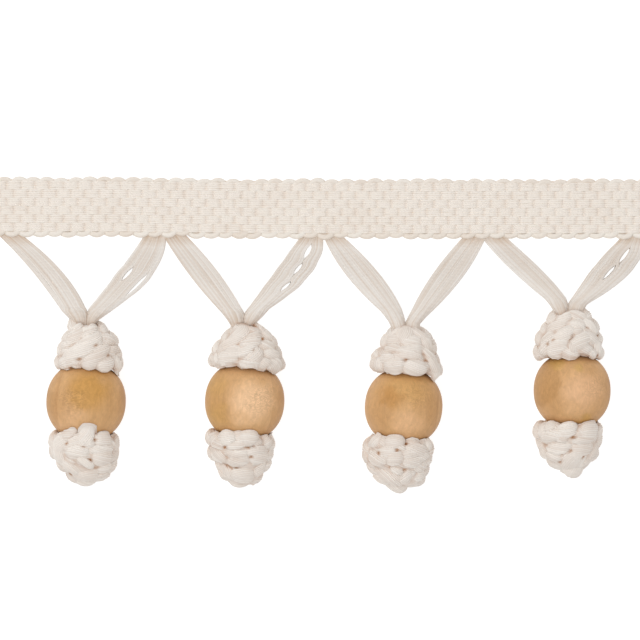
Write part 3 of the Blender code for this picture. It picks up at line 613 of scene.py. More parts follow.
def turned_maple(number, drop):
    """Maple turned in a lathe, sanded and lightly waxed: pale tan clouded with gold and rose, faint
    growth lines along the bore, curly figure in small dashes, and a soft satin gloss. Some patches
    are painted light or shade: the rosy middles of balls 2 and 4 are also a painted soft highlight,
    and a dark patch on ball 1's left edge is painted shade. The dashes are 0.4 mm high and 1 mm
    long, and the fibres, really 0.05 mm wide, are drawn at 0.3 mm."""
    wood = WOODS[number]
    material, shader = new_material("turned_maple_%d" % (number + 1), Roughness=0.55, IOR=1.5,
                                    Specular_IOR_Level=0.25)
    tree = material.node_tree
    place = add_node(tree, "ShaderNodeTexCoord")
    local = add_node(tree, "ShaderNodeMapping",
                     {"Vector": place.outputs["Object"], "Location": drop["middle"] * MM,
                      "Rotation": (0.0, 0.0, -drop["lean"]), "Scale": (MM, MM, MM)},
                     vector_type="TEXTURE").outputs[0]
    figures = {}
    for name, scale, detail, distortion in WOOD_NOISES:
        stretched = add_node(tree, "ShaderNodeVectorMath", {0: local, 1: scale}, operation="MULTIPLY")
        noise = add_node(tree, "ShaderNodeTexNoise",
                         {"Vector": stretched.outputs[0], "Scale": 1.0, "Detail": detail,
                          "Distortion": distortion})
        figures[name] = noise.outputs["Fac"]
    uneven = add_node(tree, "ShaderNodeMath",
                      {0: figures["patchy"], 1: PATCH_RAGGED, 2: -PATCH_RAGGED / 2},
                      operation="MULTIPLY_ADD")
    ragged = add_node(tree, "ShaderNodeVectorMath", {0: local, 1: uneven.outputs[0]}, operation="ADD")
    flat = add_node(tree, "ShaderNodeVectorMath", {0: ragged.outputs[0], 1: (1.0, 1.0, 0.0)},
                    operation="MULTIPLY").outputs[0]
    tone = add_node(tree, "ShaderNodeMath",
                    {0: growth_rings(tree, local, wood, drop["radius"]), 1: RING_TONE, 2: figures["cloud"]},
                    operation="MULTIPLY_ADD")
    spread = add_node(tree, "ShaderNodeMapRange",
                      {"Value": tone.outputs[0], "From Min": WOOD_TONES[0], "From Max": WOOD_TONES[1]})
    base = add_node(tree, "ShaderNodeMix",
                    {0: spread.outputs[0], COLOUR_A: linear(WOOD_PALE), COLOUR_B: linear(WOOD_DEEP)},
                    data_type="RGBA")
    colour = base.outputs[2]
    for shade, across, up, inner, outer, strength in wood["patches"]:
        share = fading_spot(tree, flat, (across, up), (inner, outer), (strength, 0.0), "SMOOTHERSTEP")
        mixed = add_node(tree, "ShaderNodeMix", {0: share, COLOUR_A: colour, COLOUR_B: linear(shade)},
                         data_type="RGBA")
        colour = mixed.outputs[2]
    across, up, reach, strength = wood["curl"]
    there = fading_spot(tree, flat, (across, up), (reach * CURL_CORE, reach),
                        (CURL_SHADES[0] * strength, CURL_SHADES[1]), "LINEAR")
    dashes = add_node(tree, "ShaderNodeMapRange",
                      {"Value": figures["curl"], "From Min": CURL_NOISES[0], "From Max": CURL_NOISES[1],
                       "To Min": CURL_DASHES[0], "To Max": CURL_DASHES[1]})
    curl = add_node(tree, "ShaderNodeMath", {0: dashes.outputs[0], 1: there}, operation="MULTIPLY")
    flecked = add_node(tree, "ShaderNodeMath", {0: figures["fleck"], 1: FLECK_SHADE, 2: FLECK_BASE},
                       operation="MULTIPLY_ADD")
    streak = add_node(tree, "ShaderNodeMath", {0: figures["fibre"], 1: FIBRE_SHADE, 2: flecked.outputs[0]},
                      operation="MULTIPLY_ADD")
    streaks = add_node(tree, "ShaderNodeMath", {0: streak.outputs[0], 1: curl.outputs[0]},
                       operation="SUBTRACT")
    figured = add_node(tree, "ShaderNodeMix", {0: 1.0, COLOUR_A: colour, COLOUR_B: streaks.outputs[0]},
                       data_type="RGBA", blend_type="MULTIPLY")
    bump = add_node(tree, "ShaderNodeBump",
                    {"Strength": WOOD_RELIEF_STRENGTH, "Distance": WOOD_RELIEF * MM,
                     "Height": streaks.outputs[0]})
    tree.links.new(figured.outputs[2], shader.inputs["Base Color"])
    tree.links.new(bump.outputs["Normal"], shader.inputs["Normal"])
    return material


def paper_floor():
    """Matt white paper lit evenly, so that it shows as plain white round the fringe."""
    return new_material("white_paper", Roughness=0.9, Base_Color=linear("#9C9C9C"),
                        Emission_Color=linear("#FFFFFF"), Emission_Strength=0.8)[0]


def open_tree(name, ports):
    """A geometry tree with its named inputs, and the nodes that hold its inputs and its output."""
    tree = bpy.data.node_groups.new(name, "GeometryNodeTree")
    for port, kind in ports:
        tree.interface.new_socket(port, in_out="INPUT", socket_type=kind)
    tree.interface.new_socket("Geometry", in_out="OUTPUT", socket_type="NodeSocketGeometry")
    return tree, add_node(tree, "NodeGroupInput").outputs, add_node(tree, "NodeGroupOutput")


def sweep_yarn(tree, lines, radius, sides, material, output):
    """Sweeps a round yarn along curves, keeping the turn round it and the length along it."""
    circle = add_node(tree, "GeometryNodeCurvePrimitiveCircle", {"Resolution": sides, "Radius": 1.0})
    place = add_node(tree, "GeometryNodeInputPosition")
    section = add_node(tree, "GeometryNodeStoreNamedAttribute",
                       {"Geometry": circle.outputs["Curve"], "Name": "round",
                        "Value": place.outputs["Position"]}, data_type="FLOAT_VECTOR")
    length = add_node(tree, "GeometryNodeSplineParameter")
    marked = add_node(tree, "GeometryNodeStoreNamedAttribute",
                      {"Geometry": lines, "Name": "along", "Value": length.outputs["Length"]})
    tube = add_node(tree, "GeometryNodeCurveToMesh",
                    {"Curve": marked.outputs[0], "Profile Curve": section.outputs[0], "Scale": radius,
                     "Fill Caps": True})
    smooth = add_node(tree, "GeometryNodeSetShadeSmooth", {"Geometry": tube.outputs[0]})
    whole = add_node(tree, "GeometryNodeRealizeInstances", {"Geometry": smooth.outputs[0]})
    finished = add_node(tree, "GeometryNodeSetMaterial",
                        {"Geometry": whole.outputs[0], "Material": material})
    tree.links.new(finished.outputs[0], output.inputs[0])


def laid_yarn_tree():
    """Yarns along guide lines. A guide's thick attribute is its share of the radius."""
    tree, ports, output = open_tree("laid_yarn", (
        ("Guides", "NodeSocketGeometry"), ("Yarn radius", "NodeSocketFloat"), ("Sides", "NodeSocketInt"),
        ("Yarn", "NodeSocketMaterial")))
    lines = add_node(tree, "GeometryNodeMeshToCurve", {"Mesh": ports["Guides"]})
    thick = add_node(tree, "GeometryNodeInputNamedAttribute", {"Name": "thick"})
    radius = add_node(tree, "ShaderNodeMath", {0: thick.outputs[0], 1: ports["Yarn radius"]},
                      operation="MULTIPLY")
    sweep_yarn(tree, lines.outputs[0], radius.outputs[0], ports["Sides"], ports["Yarn"], output)
    return tree


def warp_tree():
    """Rows of warp yarn that float and dip, alternate rows half a pitch apart."""
    tree, group, output = open_tree("warp_rows", (
        ("Length", "NodeSocketFloat"), ("Low edge", "NodeSocketFloat"), ("Row width", "NodeSocketFloat"),
        ("Yarn spacing", "NodeSocketFloat"), ("Yarns", "NodeSocketInt"), ("Pitch", "NodeSocketFloat"),
        ("Lag", "NodeSocketFloat"), ("Level", "NodeSocketFloat"), ("Dip", "NodeSocketFloat"),
        ("Dip width", "NodeSocketFloat"), ("Uneven", "NodeSocketFloat"), ("Steps", "NodeSocketInt"),
        ("Yarn radius", "NodeSocketFloat"), ("Sides", "NodeSocketInt"), ("Yarn", "NodeSocketMaterial")))
    ports = {port.name: port for port in group if port.name}
    half = add_node(tree, "ShaderNodeMath", {0: ports["Length"], 1: 0.5}, operation="MULTIPLY")
    minus = add_node(tree, "ShaderNodeMath", {0: ports["Length"], 1: -0.5}, operation="MULTIPLY")
    lowest = add_node(tree, "ShaderNodeMath", {0: ports["Yarn spacing"], 1: 0.5, 2: ports["Low edge"]},
                      operation="MULTIPLY_ADD")
    left = add_node(tree, "ShaderNodeCombineXYZ", {"X": minus.outputs[0]})
    right = add_node(tree, "ShaderNodeCombineXYZ", {"X": half.outputs[0]})
    line = add_node(tree, "GeometryNodeCurvePrimitiveLine",
                    {"Start": left.outputs[0], "End": right.outputs[0]})
    dense = add_node(tree, "GeometryNodeResampleCurve",
                     {"Curve": line.outputs[0], "Count": ports["Steps"]})
    first = add_node(tree, "ShaderNodeCombineXYZ", {"Y": lowest.outputs[0]})
    pace = add_node(tree, "ShaderNodeCombineXYZ", {"Y": ports["Yarn spacing"]})
    places = add_node(tree, "GeometryNodeMeshLine",
                      {"Count": ports["Yarns"], "Start Location": first.outputs[0],
                       "Offset": pace.outputs[0]})
    copies = add_node(tree, "GeometryNodeInstanceOnPoints",
                      {"Points": places.outputs[0], "Instance": dense.outputs[0]})
    yarns = add_node(tree, "GeometryNodeRealizeInstances", {"Geometry": copies.outputs[0]})
    place = add_node(tree, "GeometryNodeInputPosition")
    split = add_node(tree, "ShaderNodeSeparateXYZ", {0: place.outputs[0]})
    known = {"x": split.outputs["X"], "y": split.outputs["Y"], **ports}
    for name, spread in (("drift", WARP_DRIFT), ("stray", WARP_STRAY)):
        scale = [1 / (reach * MM) for reach in spread]
        stretched = add_node(tree, "ShaderNodeVectorMath", {0: place.outputs[0], 1: scale},
                             operation="MULTIPLY")
        patchy = add_node(tree, "ShaderNodeTexNoise",
                          {"Vector": stretched.outputs[0], "Scale": 1.0, "Detail": 1.0})
        known[name] = patchy.outputs["Fac"]
    for name, operation, *values in WARP_SUMS:
        sum_node = add_node(tree, "ShaderNodeMath", {i: known.get(v, v) for i, v in enumerate(values)},
                            operation=operation)
        known[name] = sum_node.outputs[0]
    move = add_node(tree, "ShaderNodeCombineXYZ", {"Y": known["aside"], "Z": known["height"]})
    woven = add_node(tree, "GeometryNodeSetPosition",
                     {"Geometry": yarns.outputs[0], "Offset": move.outputs[0]})
    shade = add_node(tree, "GeometryNodeStoreNamedAttribute",
                     {"Geometry": woven.outputs[0], "Name": "shade", "Value": known["shade"]})
    sweep_yarn(tree, shade.outputs[0], ports["Yarn radius"], ports["Sides"], ports["Yarn"], output)
    return tree


def add_object(name, data):
    """An object put into the scene."""
    thing = bpy.data.objects.new(name, data)
    bpy.context.scene.collection.objects.link(thing)
    return thing


def grow(name, tree, values, guides=None):
    """A plain mesh piece grown by a tree from its named inputs."""
    piece = add_object(name, guides or bpy.data.meshes.new(name))
    modifier = piece.modifiers.new(tree.name, "NODES")
    modifier.node_group = tree
    for item in tree.interface.items_tree:
        if item.in_out == "INPUT" and item.name in values:
            modifier[item.identifier] = values[item.name]
    shown = bpy.context.evaluated_depsgraph_get()
    mesh = bpy.data.meshes.new_from_object(piece.evaluated_get(shown), depsgraph=shown)
    piece.modifiers.remove(modifier)
    piece.data = mesh
    mesh.name = name
    return piece


def guide_lines(name, lines):
    """A mesh of open lines, each given as its points, thickness and shade."""
    mesh = bpy.data.meshes.new(name + "_guides")
    points = np.concatenate([row[0] for row in lines])
    edges = []
    start = 0
    for row in lines:
        edges += [(start + i, start + i + 1) for i in range(len(row[0]) - 1)]
        start += len(row[0])
    mesh.from_pydata(points * MM, edges, [])
    for index, key in ((1, "thick"), (2, "shade")):
        values = np.concatenate([np.broadcast_to(row[index], len(row[0])) for row in lines])
        mesh.attributes.new(key, "FLOAT", "POINT").data.foreach_set("value", values.astype(np.float32))
    return mesh


def lay_yarns(name, tree, lines, radius, sides, material):
    """A piece of round yarns laid along guide lines."""
    values = {"Yarn radius": radius * MM, "Sides": sides, "Yarn": material}
    return grow(name, tree, values, guide_lines(name, lines))


def smooth_line(points, steps):
    """A smooth curve through points, with so many steps between each two."""
    points = np.asarray(points, float)
    ends = np.concatenate([[2 * points[0] - points[1]], points, [2 * points[-1] - points[-2]]])
    share = (np.arange(steps) / steps)[:, None]
    parts = []
    for a, b, c, d in zip(ends, ends[1:], ends[2:], ends[3:]):
        parts.append(0.5 * (2 * b + (c - a) * share + (2 * a - 5 * b + 4 * c - d) * share ** 2
                            + (3 * b - a - 3 * c + d) * share ** 3))
    return np.concatenate(parts + [points[-1:]])


def from_mesh_data(name, points, faces, material, attributes=()):
    """A smooth mesh piece from points in millimetres."""
    mesh = bpy.data.meshes.new(name)
    mesh.from_pydata(np.asarray(points) * MM, [], faces)
    for key, kind, values in attributes:
        field = "vector" if kind == "FLOAT_VECTOR" else "value"
        mesh.attributes.new(key, kind, "POINT").data.foreach_set(
            field, np.asarray(values, np.float32).ravel())
    mesh.shade_smooth()
    mesh.set_sharp_from_angle(angle=SHARP_ANGLE)
    mesh.materials.append(material)
    return add_object(name, mesh)


def ring_faces(first, second, count):
    """The faces between two rings of points, each given by its first point's number."""
    return [(first + i, first + (i + 1) % count, second + (i + 1) % count, second + i)
            for i in range(count)]


def tube_faces(rings, count):
    """The faces of a tube of rings, closed at both ends."""
    faces = []
    for ring in range(rings - 1):
        faces += ring_faces(ring * count, (ring + 1) * count, count)
    last = (rings - 1) * count
    return faces + [tuple(range(count - 1, -1, -1)), tuple(range(last, last + count))]


def level_ring(radius, up, count, aside=0.0):
    """A ring of points round the drop's axis at one height, or round a line aside of it."""
    turn = 2 * math.pi * np.arange(count) / count
    return np.stack([aside + radius * np.sin(turn), np.full(count, up), radius * np.cos(turn)], -1)


def drift_tape(piece):
    """Lets a piece of the tape drift off straight, as the whole tape does."""
    points = np.empty(len(piece.data.vertices) * 3, np.float32)
    piece.data.vertices.foreach_get("co", points)
    points = points.reshape(-1, 3)
    along, aside = np.array(TAPE_DRIFT).T * MM
    points[:, 1] += np.interp(points[:, 0], along, aside)
    points[:, 0] = np.clip(points[:, 0], -TAPE_LENGTH / 2 * MM, TAPE_LENGTH / 2 * MM)
    points[:, 2] = np.maximum(points[:, 2], 0.0)
    piece.data.vertices.foreach_set("co", points.ravel())
    return piece


def tape_ground(material):
    """The thin closed sheet of crossed yarn between the warp's face and back, painted darker with shade."""
    low = WARP_LOW_EDGE - GROUND_MARGIN
    high = WARP_HIGH_EDGE + GROUND_MARGIN
    steps = int(TAPE_LENGTH)
    xs = np.linspace(-TAPE_LENGTH / 2, TAPE_LENGTH / 2, steps + 1)
    wave = GROUND_WAVE * np.sin(2 * np.pi * xs / PICK_PITCH)
    rows = []
    for side, level in ((high, 0.5), (high, -0.5), (low, -0.5), (low, 0.5)):
        rows.append(np.stack([xs, np.full_like(xs, side),
                              TAPE_THICKNESS / 2 + level * GROUND_THICKNESS + wave], -1))
    points = np.concatenate(rows)
    count = steps + 1
    faces = []
    for row in range(len(rows)):
        after = (row + 1) % len(rows)
        faces += [(row * count + i, row * count + i + 1, after * count + i + 1, after * count + i)
                  for i in range(steps)]
    faces.append((0, count, 2 * count, 3 * count))
    faces.append((steps, 3 * count + steps, 2 * count + steps, count + steps))
    shade = ("shade", "FLOAT", np.full(len(points), GROUND_SHADE))
    return from_mesh_data("tape_ground", points, faces, material, [shade])


def edge_loops(name, notch, loop, radius, tree, material, draw):
    """The weft's turning loops along one edge of the tape."""
    lines = []
    first = math.ceil((-TAPE_LENGTH / 2 - notch) / PICK_PITCH)
    last = math.floor((TAPE_LENGTH / 2 - notch) / PICK_PITCH)
    for number in range(first, last):
        middle = notch + (number + 0.5) * PICK_PITCH + draw.normal(0, LOOP_UNEVEN)
        wide = PICK_PITCH * (1 + draw.normal(0, LOOP_WIDTH_UNEVEN))
        rise = draw.normal(0, LOOP_UNEVEN)
        points = [(middle + share * wide, aside + rise * abs(aside) / LOOP_OUT, height)
                  for share, aside, height in loop]
        lines.append((smooth_line(points, 3), 1 + draw.normal(0, LOOP_RADIUS_UNEVEN),
                      draw.uniform(0.0, LOOP_SHADE)))
    return drift_tape(lay_yarns(name, tree, lines, radius, LOOP_SIDES, material))


def weft_picks(tree, material):
    """The weft between the edges, two picks to a pitch, hidden but in the dips, and painted darker with
    shade.
    """
    lines = []
    ys = np.linspace(WARP_LOW_EDGE - GROUND_MARGIN, WARP_HIGH_EDGE + GROUND_MARGIN, WEFT_POINTS)
    for number in range(int(2 * TAPE_LENGTH / PICK_PITCH)):
        x = -TAPE_LENGTH / 2 + (number + 0.5) * PICK_PITCH / 2
        pick = np.stack([np.full_like(ys, x), ys, np.full_like(ys, TAPE_THICKNESS / 2)], -1)
        lines.append((pick, 1.0, WEFT_SHADE))
    return drift_tape(lay_yarns("tape_weft", tree, lines, WEFT_RADIUS, WEFT_SIDES, material))


def warp_layer(name, tree, level, dip, lag, fineness, material):
    """All the warp of one face of the tape. The lag shifts its dips by a share of the pitch, and the
    fineness is its steps to a pitch and its sides."""
    steps, sides = fineness
    row_width = (WARP_HIGH_EDGE - WARP_LOW_EDGE) / WARP_ROWS
    values = {
        "Length": TAPE_LENGTH * MM, "Low edge": WARP_LOW_EDGE * MM, "Row width": row_width * MM,
        "Yarn spacing": row_width / YARNS_PER_ROW * MM, "Yarns": WARP_ROWS * YARNS_PER_ROW,
        "Pitch": PICK_PITCH * MM, "Lag": lag, "Level": level * MM, "Dip": dip * MM,
        "Dip width": WARP_DIP_WIDTH * MM, "Uneven": WARP_UNEVEN,
        "Steps": int(TAPE_LENGTH / PICK_PITCH * steps),
        "Yarn radius": WARP_YARN_RADIUS * MM, "Sides": sides, "Yarn": material,
    }
    return drift_tape(grow(name, tree, values))


def drop_places():
    """Each drop's middle, lean and ball radius, from the balls' joints in the frame. The balls rest on
    the surface, so their middles are a radius up."""
    drops = []
    for number in range(DROP_COUNT):
        joint = next(j for j in frame["joints"] if j["name"] == "ball_%d_spin" % (number + 1))
        middle = Vector(joint["pos_m"]) / MM
        drops.append({"middle": middle, "lean": math.atan2(joint["axis"][0], joint["axis"][1]),
                      "radius": middle.z})
    return drops


def place_drop(drop, local):
    """Points given across, up and out from the ball's middle, in the fringe's own frame."""
    turn = np.array(((math.cos(drop["lean"]), math.sin(drop["lean"]), 0),
                     (-math.sin(drop["lean"]), math.cos(drop["lean"]), 0), (0, 0, 1)))
    placed = np.asarray(local) @ turn.T + np.array(drop["middle"])
    placed[:, 2] = np.maximum(placed[:, 2], LEAST_HEIGHT)
    return placed


def open_slits(number, side, spots, shares, layer):
    """Pushes a yarn aside where its ribbon parts in a slit. Spots run across the ribbon, 0 to 1. The
    two layers part a little beside each other, so that no crack runs on from a slit."""
    moved = spots.copy()
    for drop_number, slit_side, share, across, long, wide in SLITS:
        if (drop_number, slit_side) == (number, side):
            across += SLIT_SKEW * layer
            there = np.interp(share, shares, spots)
            push = wide / 2 * np.exp(-((shares - share) / long) ** 4)
            moved += math.copysign(1, there - across) * push * math.exp(-abs(there - across) / SLIT_FADE)
    return moved


def arm_line(number, drop, side, spot, layer, draw):
    """The middle line of one yarn of a ribbon, and its share along the arm at each point."""
    edges = ARMS[number][0 if side < 0 else 1]
    shares = np.concatenate([[ARM_HIDDEN_SHARE], np.linspace(0, 1, ARM_STEPS)])
    sway = RIBBON_WANDER * draw.normal(0, 1, 2)
    spots = spot + sway[0] * np.sin(RIBBON_WANDER_WAVE * shares + draw.uniform(0, ANY_PHASE)) \
        + sway[1] * np.sin(math.pi * shares)
    spots = open_slits(number, side, np.clip(spots, RIBBON_EDGE, 1 - RIBBON_EDGE), shares, layer)
    root, middle, end = (edges[key][0] + (edges[key][1] - edges[key][0]) * spots
                         for key in ("root", "middle", "low"))
    across = root * (1 - 2 * shares) * (1 - shares) + middle * 4 * shares * (1 - shares) \
        + end * shares * (2 * shares - 1)
    along = ARM_ROOT + (ARM_LOWS[number] - ARM_ROOT) * shares
    along[0] = ARM_HIDDEN_ROOT
    rise = np.clip(shares, 0, 1) ** 2 * (3 - 2 * np.clip(shares, 0, 1))
    arch = np.sin(math.pi * np.clip(spots, 0, 1)) ** RIBBON_CROWN_POWER
    crown = RIBBON_LAYER_LIFT + RIBBON_CROWN * rise * arch
    height = RIBBON_REST + (drop["middle"].z - RIBBON_REST) * rise + layer * crown
    arm = np.stack([drop["middle"].x + across, along, height, shares], -1)
    neck = np.concatenate([place_drop(drop, neck_stations(number, drop, side, spot, layer)),
                           NECK_SHARES], 1)
    bend = smooth_line(np.concatenate([arm[-2:], neck]), 2)
    return np.concatenate([arm[:-1], bend[2:]])


def neck_stations(number, drop, side, spot, layer):
    """Where a yarn passes the V and the two stations below it, on its way into the knot."""
    (meet, up), outers = NECKS[number]["meet"], NECKS[number]["edges"]
    lean, aside = drop["lean"], UPPER_OUTLINES[number][-1][2]
    level = up * math.cos(lean) + meet * math.sin(lean)
    crease = meet * math.cos(lean) - up * math.sin(lean)
    outer = outers[0 if side < 0 else 1] * math.cos(lean) - up * math.sin(lean)
    stations = [(level, crease + side * V_OPEN, outer, V_THICK)]
    stations += [(level - below, crease, aside + side * reach, thick) for below, reach, thick in BELOW_V]
    bunched = 0.5 + 0.5 * side * math.cos(math.pi * spot)
    return [(outer + (inner - outer) * bunched, up, layer * thick * math.sin(math.pi * spot))
            for up, inner, outer, thick in stations]


def ribbon(number, drop, side, tree, material, draw):
    """One arm of a loop: fine yarns in two layers from under the tape into the knot."""
    lines = []
    left, right = ARMS[number][0 if side < 0 else 1]["middle"]
    for layer, spacing in RIBBON_LAYERS:
        count = round((right - left) / spacing)
        for i in range(count):
            spot = (i + 0.5 + draw.normal(0, RIBBON_SPACING_UNEVEN)) / count
            line = arm_line(number, drop, side, spot, layer, draw)
            shade = np.interp(line[:, 3], RIBBON_SHADE_SHARES, RIBBON_SHADES)
            lines.append((line[:, :3], 1 + draw.normal(0, RIBBON_RADIUS_UNEVEN),
                          shade + draw.uniform(0, RIBBON_SHADE_UNEVEN)))
    name = "ribbon_yarn_%d_%s" % (number + 1, "left" if side < 0 else "right")
    return lay_yarns(name, tree, lines, RIBBON_YARN_RADIUS, RIBBON_SIDES, material)


def knot_outline(drop, rows):
    """The knot's outline, softened: radius, aside and slope at even heights. Over the ball it keeps
    off the ball's face by about half a bundle."""
    near = math.copysign(OUTLINE_REACH, rows[0][0])
    ups, radii, asides = np.array(sorted(((near, *rows[0][1:]), *rows))).T
    even = np.linspace(ups[0], ups[-1], OUTLINE_SAMPLES)
    width = max(1, int(OUTLINE_SOFTEN / (even[1] - even[0]) / 2))
    kernel = np.ones(2 * width + 1) / (2 * width + 1)
    radius = np.maximum(np.interp(even, ups, radii), ball_reach(drop["radius"], even) + BALL_SKIN)
    radius = np.convolve(np.pad(radius, width, "edge"), kernel, "valid")
    aside = np.convolve(np.pad(np.interp(even, ups, asides), width, "edge"), kernel, "valid")
    return {"up": even, "radius": radius, "aside": aside, "slope": np.gradient(radius, even)}


def outline_at(outline, up, *keys):
    """The outline's values of these keys at a height."""
    return [np.interp(up, outline["up"], outline[key]) for key in keys]


def knot_surface(outline, turn, up):
    """Points on the knot's outline and the way out of it there."""
    radius, aside, slope = outline_at(outline, up, "radius", "aside", "slope")
    points = np.stack([aside + radius * np.sin(turn), up, radius * np.cos(turn)], -1)
    out = np.stack([np.sin(turn), -slope, np.cos(turn)], -1)
    return points, unit(out)


def ball_reach(radius, up):
    """How far the ball's face is from its axis at a height, or from its middle plane beside the axis:
    its outline is the same both ways."""
    share = np.clip(np.abs(up) / radius, 0, 1)
    return radius * (1 - share ** SHOULDER_POWER) ** (1 / SHOULDER_POWER)


def clear_ball(drop, points):
    """Lays what would lie in the ball softly over its face, a little clear of it."""
    reach = ball_reach(drop["radius"] + CUP_CLEARANCE, points[:, 1])
    away = np.hypot(points[:, 0], points[:, 2])
    over = np.clip((away - reach) / CUP_SOFT, -CUP_LIMIT, CUP_LIMIT)
    laid = np.where(over < CUP_FREE, reach + CUP_SOFT * np.log1p(np.exp(over)), away)
    grow_by = np.where(reach > CUP_POLE, laid / np.maximum(away, LEAST_AWAY), 1.0)
    points[:, 0] *= grow_by
    points[:, 2] *= grow_by
    return points


def unit(rows):
    """Each row as a direction of length one."""
    return rows / np.linalg.norm(rows, axis=1, keepdims=True)


def bundle_section(wide, thick, points_per_yarn, draw):
    """Across a bundle: each point's angle, size and shade. Its face is grooved between the yarns, of
    which some stand a little proud. The grooves and low yarns are painted darker with shade, and
    the proud yarns lighter, as light falls on them."""
    face = math.radians(LOBE_FACE_ANGLE)
    yarns = round(face * (wide / 2 + thick) / LOBE_YARN)
    front = np.linspace(-face, face, yarns * points_per_yarn + 1)
    back = np.linspace(face, 2 * math.pi - face, LOBE_BACK_POINTS + 2)[1:-1]
    angle = np.concatenate([front, back])
    crest = np.concatenate([np.abs(np.sin(math.pi * np.arange(len(front)) / points_per_yarn)),
                            np.zeros(len(back))])
    ridge = 1 - LOBE_GROOVE / thick * (1 - crest)
    oval = LOBE_OVAL * np.sin(2 * angle + draw.uniform(0, ANY_PHASE))
    lumpy = LOBE_LUMPY * np.sin(3 * angle + draw.uniform(0, ANY_PHASE))
    stand = np.concatenate([np.repeat(draw.normal(0, LOBE_UNEVEN / thick, yarns), points_per_yarn),
                            np.zeros(1 + len(back))])
    shade = LOBE_GROOVE_SHADE * (1 - crest) - LOBE_YARN_SHADE * stand
    return angle, (ridge + stand * crest) * (1 + oval + lumpy), shade


def lobe(outline, turn, up, tilt, size, fineness, draw):
    """One fat bundle of yarns lying on the knot: points, faces and yarn values. Its size is its
    length, its width and how far it stands proud."""
    ring_spacing, points_per_yarn = fineness
    long = size[0] * LOBE_LONGER
    wide = size[1] * LOBE_WIDER
    proud = size[2]
    rings = LOBE_END_RINGS + round(long / ring_spacing)
    share = np.sin(np.linspace(-math.pi / 2, math.pi / 2, rings)) * LOBE_END_SHARE
    run = share * long / 2
    bow = LOBE_BOW_SHARE * long * (1 - share ** 2) * draw.choice((-1, 1))
    tilt = math.radians(tilt + draw.normal(0, LOBE_TILT_UNEVEN))
    girth = max(np.interp(up, outline["up"], outline["radius"]), LOBE_LEAST_GIRTH)
    turns = turn + (run * math.cos(tilt) - bow * math.sin(tilt)) / girth
    ups = up + run * math.sin(tilt) + bow * math.cos(tilt)
    line, out = knot_surface(outline, turns, ups)
    thick = wide * LOBE_THICK_SHARE / 2
    taper = (1 - np.abs(share) ** LOBE_TAPER_POWER) ** 0.5
    middle = line + out * (proud - thick * taper - LOBE_DIVE * np.abs(share) ** 3)[:, None]
    ahead = unit(np.gradient(line, axis=0))
    side = unit(np.cross(out, ahead))
    angle, section, shade = bundle_section(wide, thick, points_per_yarn, draw)
    count = len(angle)
    twisted = angle[None] + LOBE_LAY * (run / (wide / 2))[:, None]
    girths = taper[:, None] * section[None]
    points = (middle[:, None] + side[:, None] * (wide / 2 * girths * np.sin(twisted))[..., None]
              + out[:, None] * (thick * girths * np.cos(twisted))[..., None]).reshape(-1, 3)
    wound = 2 * math.pi * np.arange(count) / points_per_yarn
    rounds = np.stack([np.cos(wound), np.sin(wound), np.zeros(count)], -1)
    return {"points": points, "faces": tube_faces(rings, count), "round": np.tile(rounds, (rings, 1)),
            "along": np.repeat(run * MM, count),
            "shade": np.tile(shade, rings) + draw.uniform(0, LOBE_SHADE_UNEVEN)}


def knot_core(drop, outline, lower):
    """The knot's inner body: it is hollowed to seat the ball, and a lower knot carries the cord."""
    sign = -1 if lower else 1
    hollow = drop["radius"] + CUP_CLEARANCE
    rim = sign * CORE_RIM
    tip = outline["up"][0] + CORE_TIP if lower else outline["up"][-1] - CORE_TIP
    rings = []
    if lower:
        rings.append(level_ring(CORD_RADIUS, hollow - CORD_SHORT, CORE_SEGMENTS))
    for out in np.linspace(CORD_RADIUS, ball_reach(hollow, rim), CUP_RINGS):
        rings.append(level_ring(out, sign * ball_reach(hollow, out), CORE_SEGMENTS))
    angle = 2 * math.pi * np.arange(CORE_SEGMENTS) / CORE_SEGMENTS
    for up in np.linspace(rim, tip, CORE_ROWS):
        radius, aside = outline_at(outline, up, "radius", "aside")
        least = ball_reach(hollow, up) + CORE_WALL + abs(aside)
        size = max(radius - CORE_SINK, min(least, radius), CORE_LEAST)
        wavy = size + CORE_WAVE_DEPTH * np.sin(CORE_WAVES * angle + CORE_WAVE_LEAN * up)
        rings.append(level_ring(wavy, up, CORE_SEGMENTS, aside))
    points = np.concatenate(rings)
    wound = np.tile(CORE_YARNS * angle, len(rings))
    return {"points": points, "faces": tube_faces(len(rings), CORE_SEGMENTS),
            "round": np.stack([np.cos(wound), np.sin(wound), np.zeros(len(wound))], -1),
            "along": points[:, 1] * MM, "shade": np.full(len(points), CORE_SHADE)}


def depth_under(outline, points):
    """How deep the points lie below the knot's outline."""
    radius, aside, slope = outline_at(outline, points[:, 1], "radius", "aside", "slope")
    return (radius - np.hypot(points[:, 0] - aside, points[:, 2])) / np.hypot(1, slope)


def crease_shade(points, under):
    """How much painted shade the points get for lying in the creases."""
    share = np.clip((under - CREASE_START) / (CREASE_DEPTH - CREASE_START), 0, 1)
    fade = np.interp(np.abs(points[:, 1]), CREASE_FADE_UPS, CREASE_FADES)
    return CREASE_SHADE * fade * share * share * (3 - 2 * share)


def shown_lobes(outline, lobes, draw):
    """The bundles of a knot's table, each in front and mirrored behind."""
    bundles = []
    for across, up, tilt, *size in lobes:
        radius, aside = outline_at(outline, up, "radius", "aside")
        turn = math.asin(max(-LOBE_TURN_LIMIT, min(LOBE_TURN_LIMIT, (across - aside) / radius)))
        bundles.append(lobe(outline, turn, up, tilt, size, FRONT_FINENESS, draw))
        bundles.append(lobe(outline, math.pi - turn, up, -tilt, size, OTHER_FINENESS, draw))
    return bundles


def row_heights(rim, tip, spacing):
    """Even heights from the knot's rim towards its tip."""
    return [rim + math.copysign((row + ROW_START) * spacing, rim)
            for row in range(int(abs(tip - rim) / spacing))]


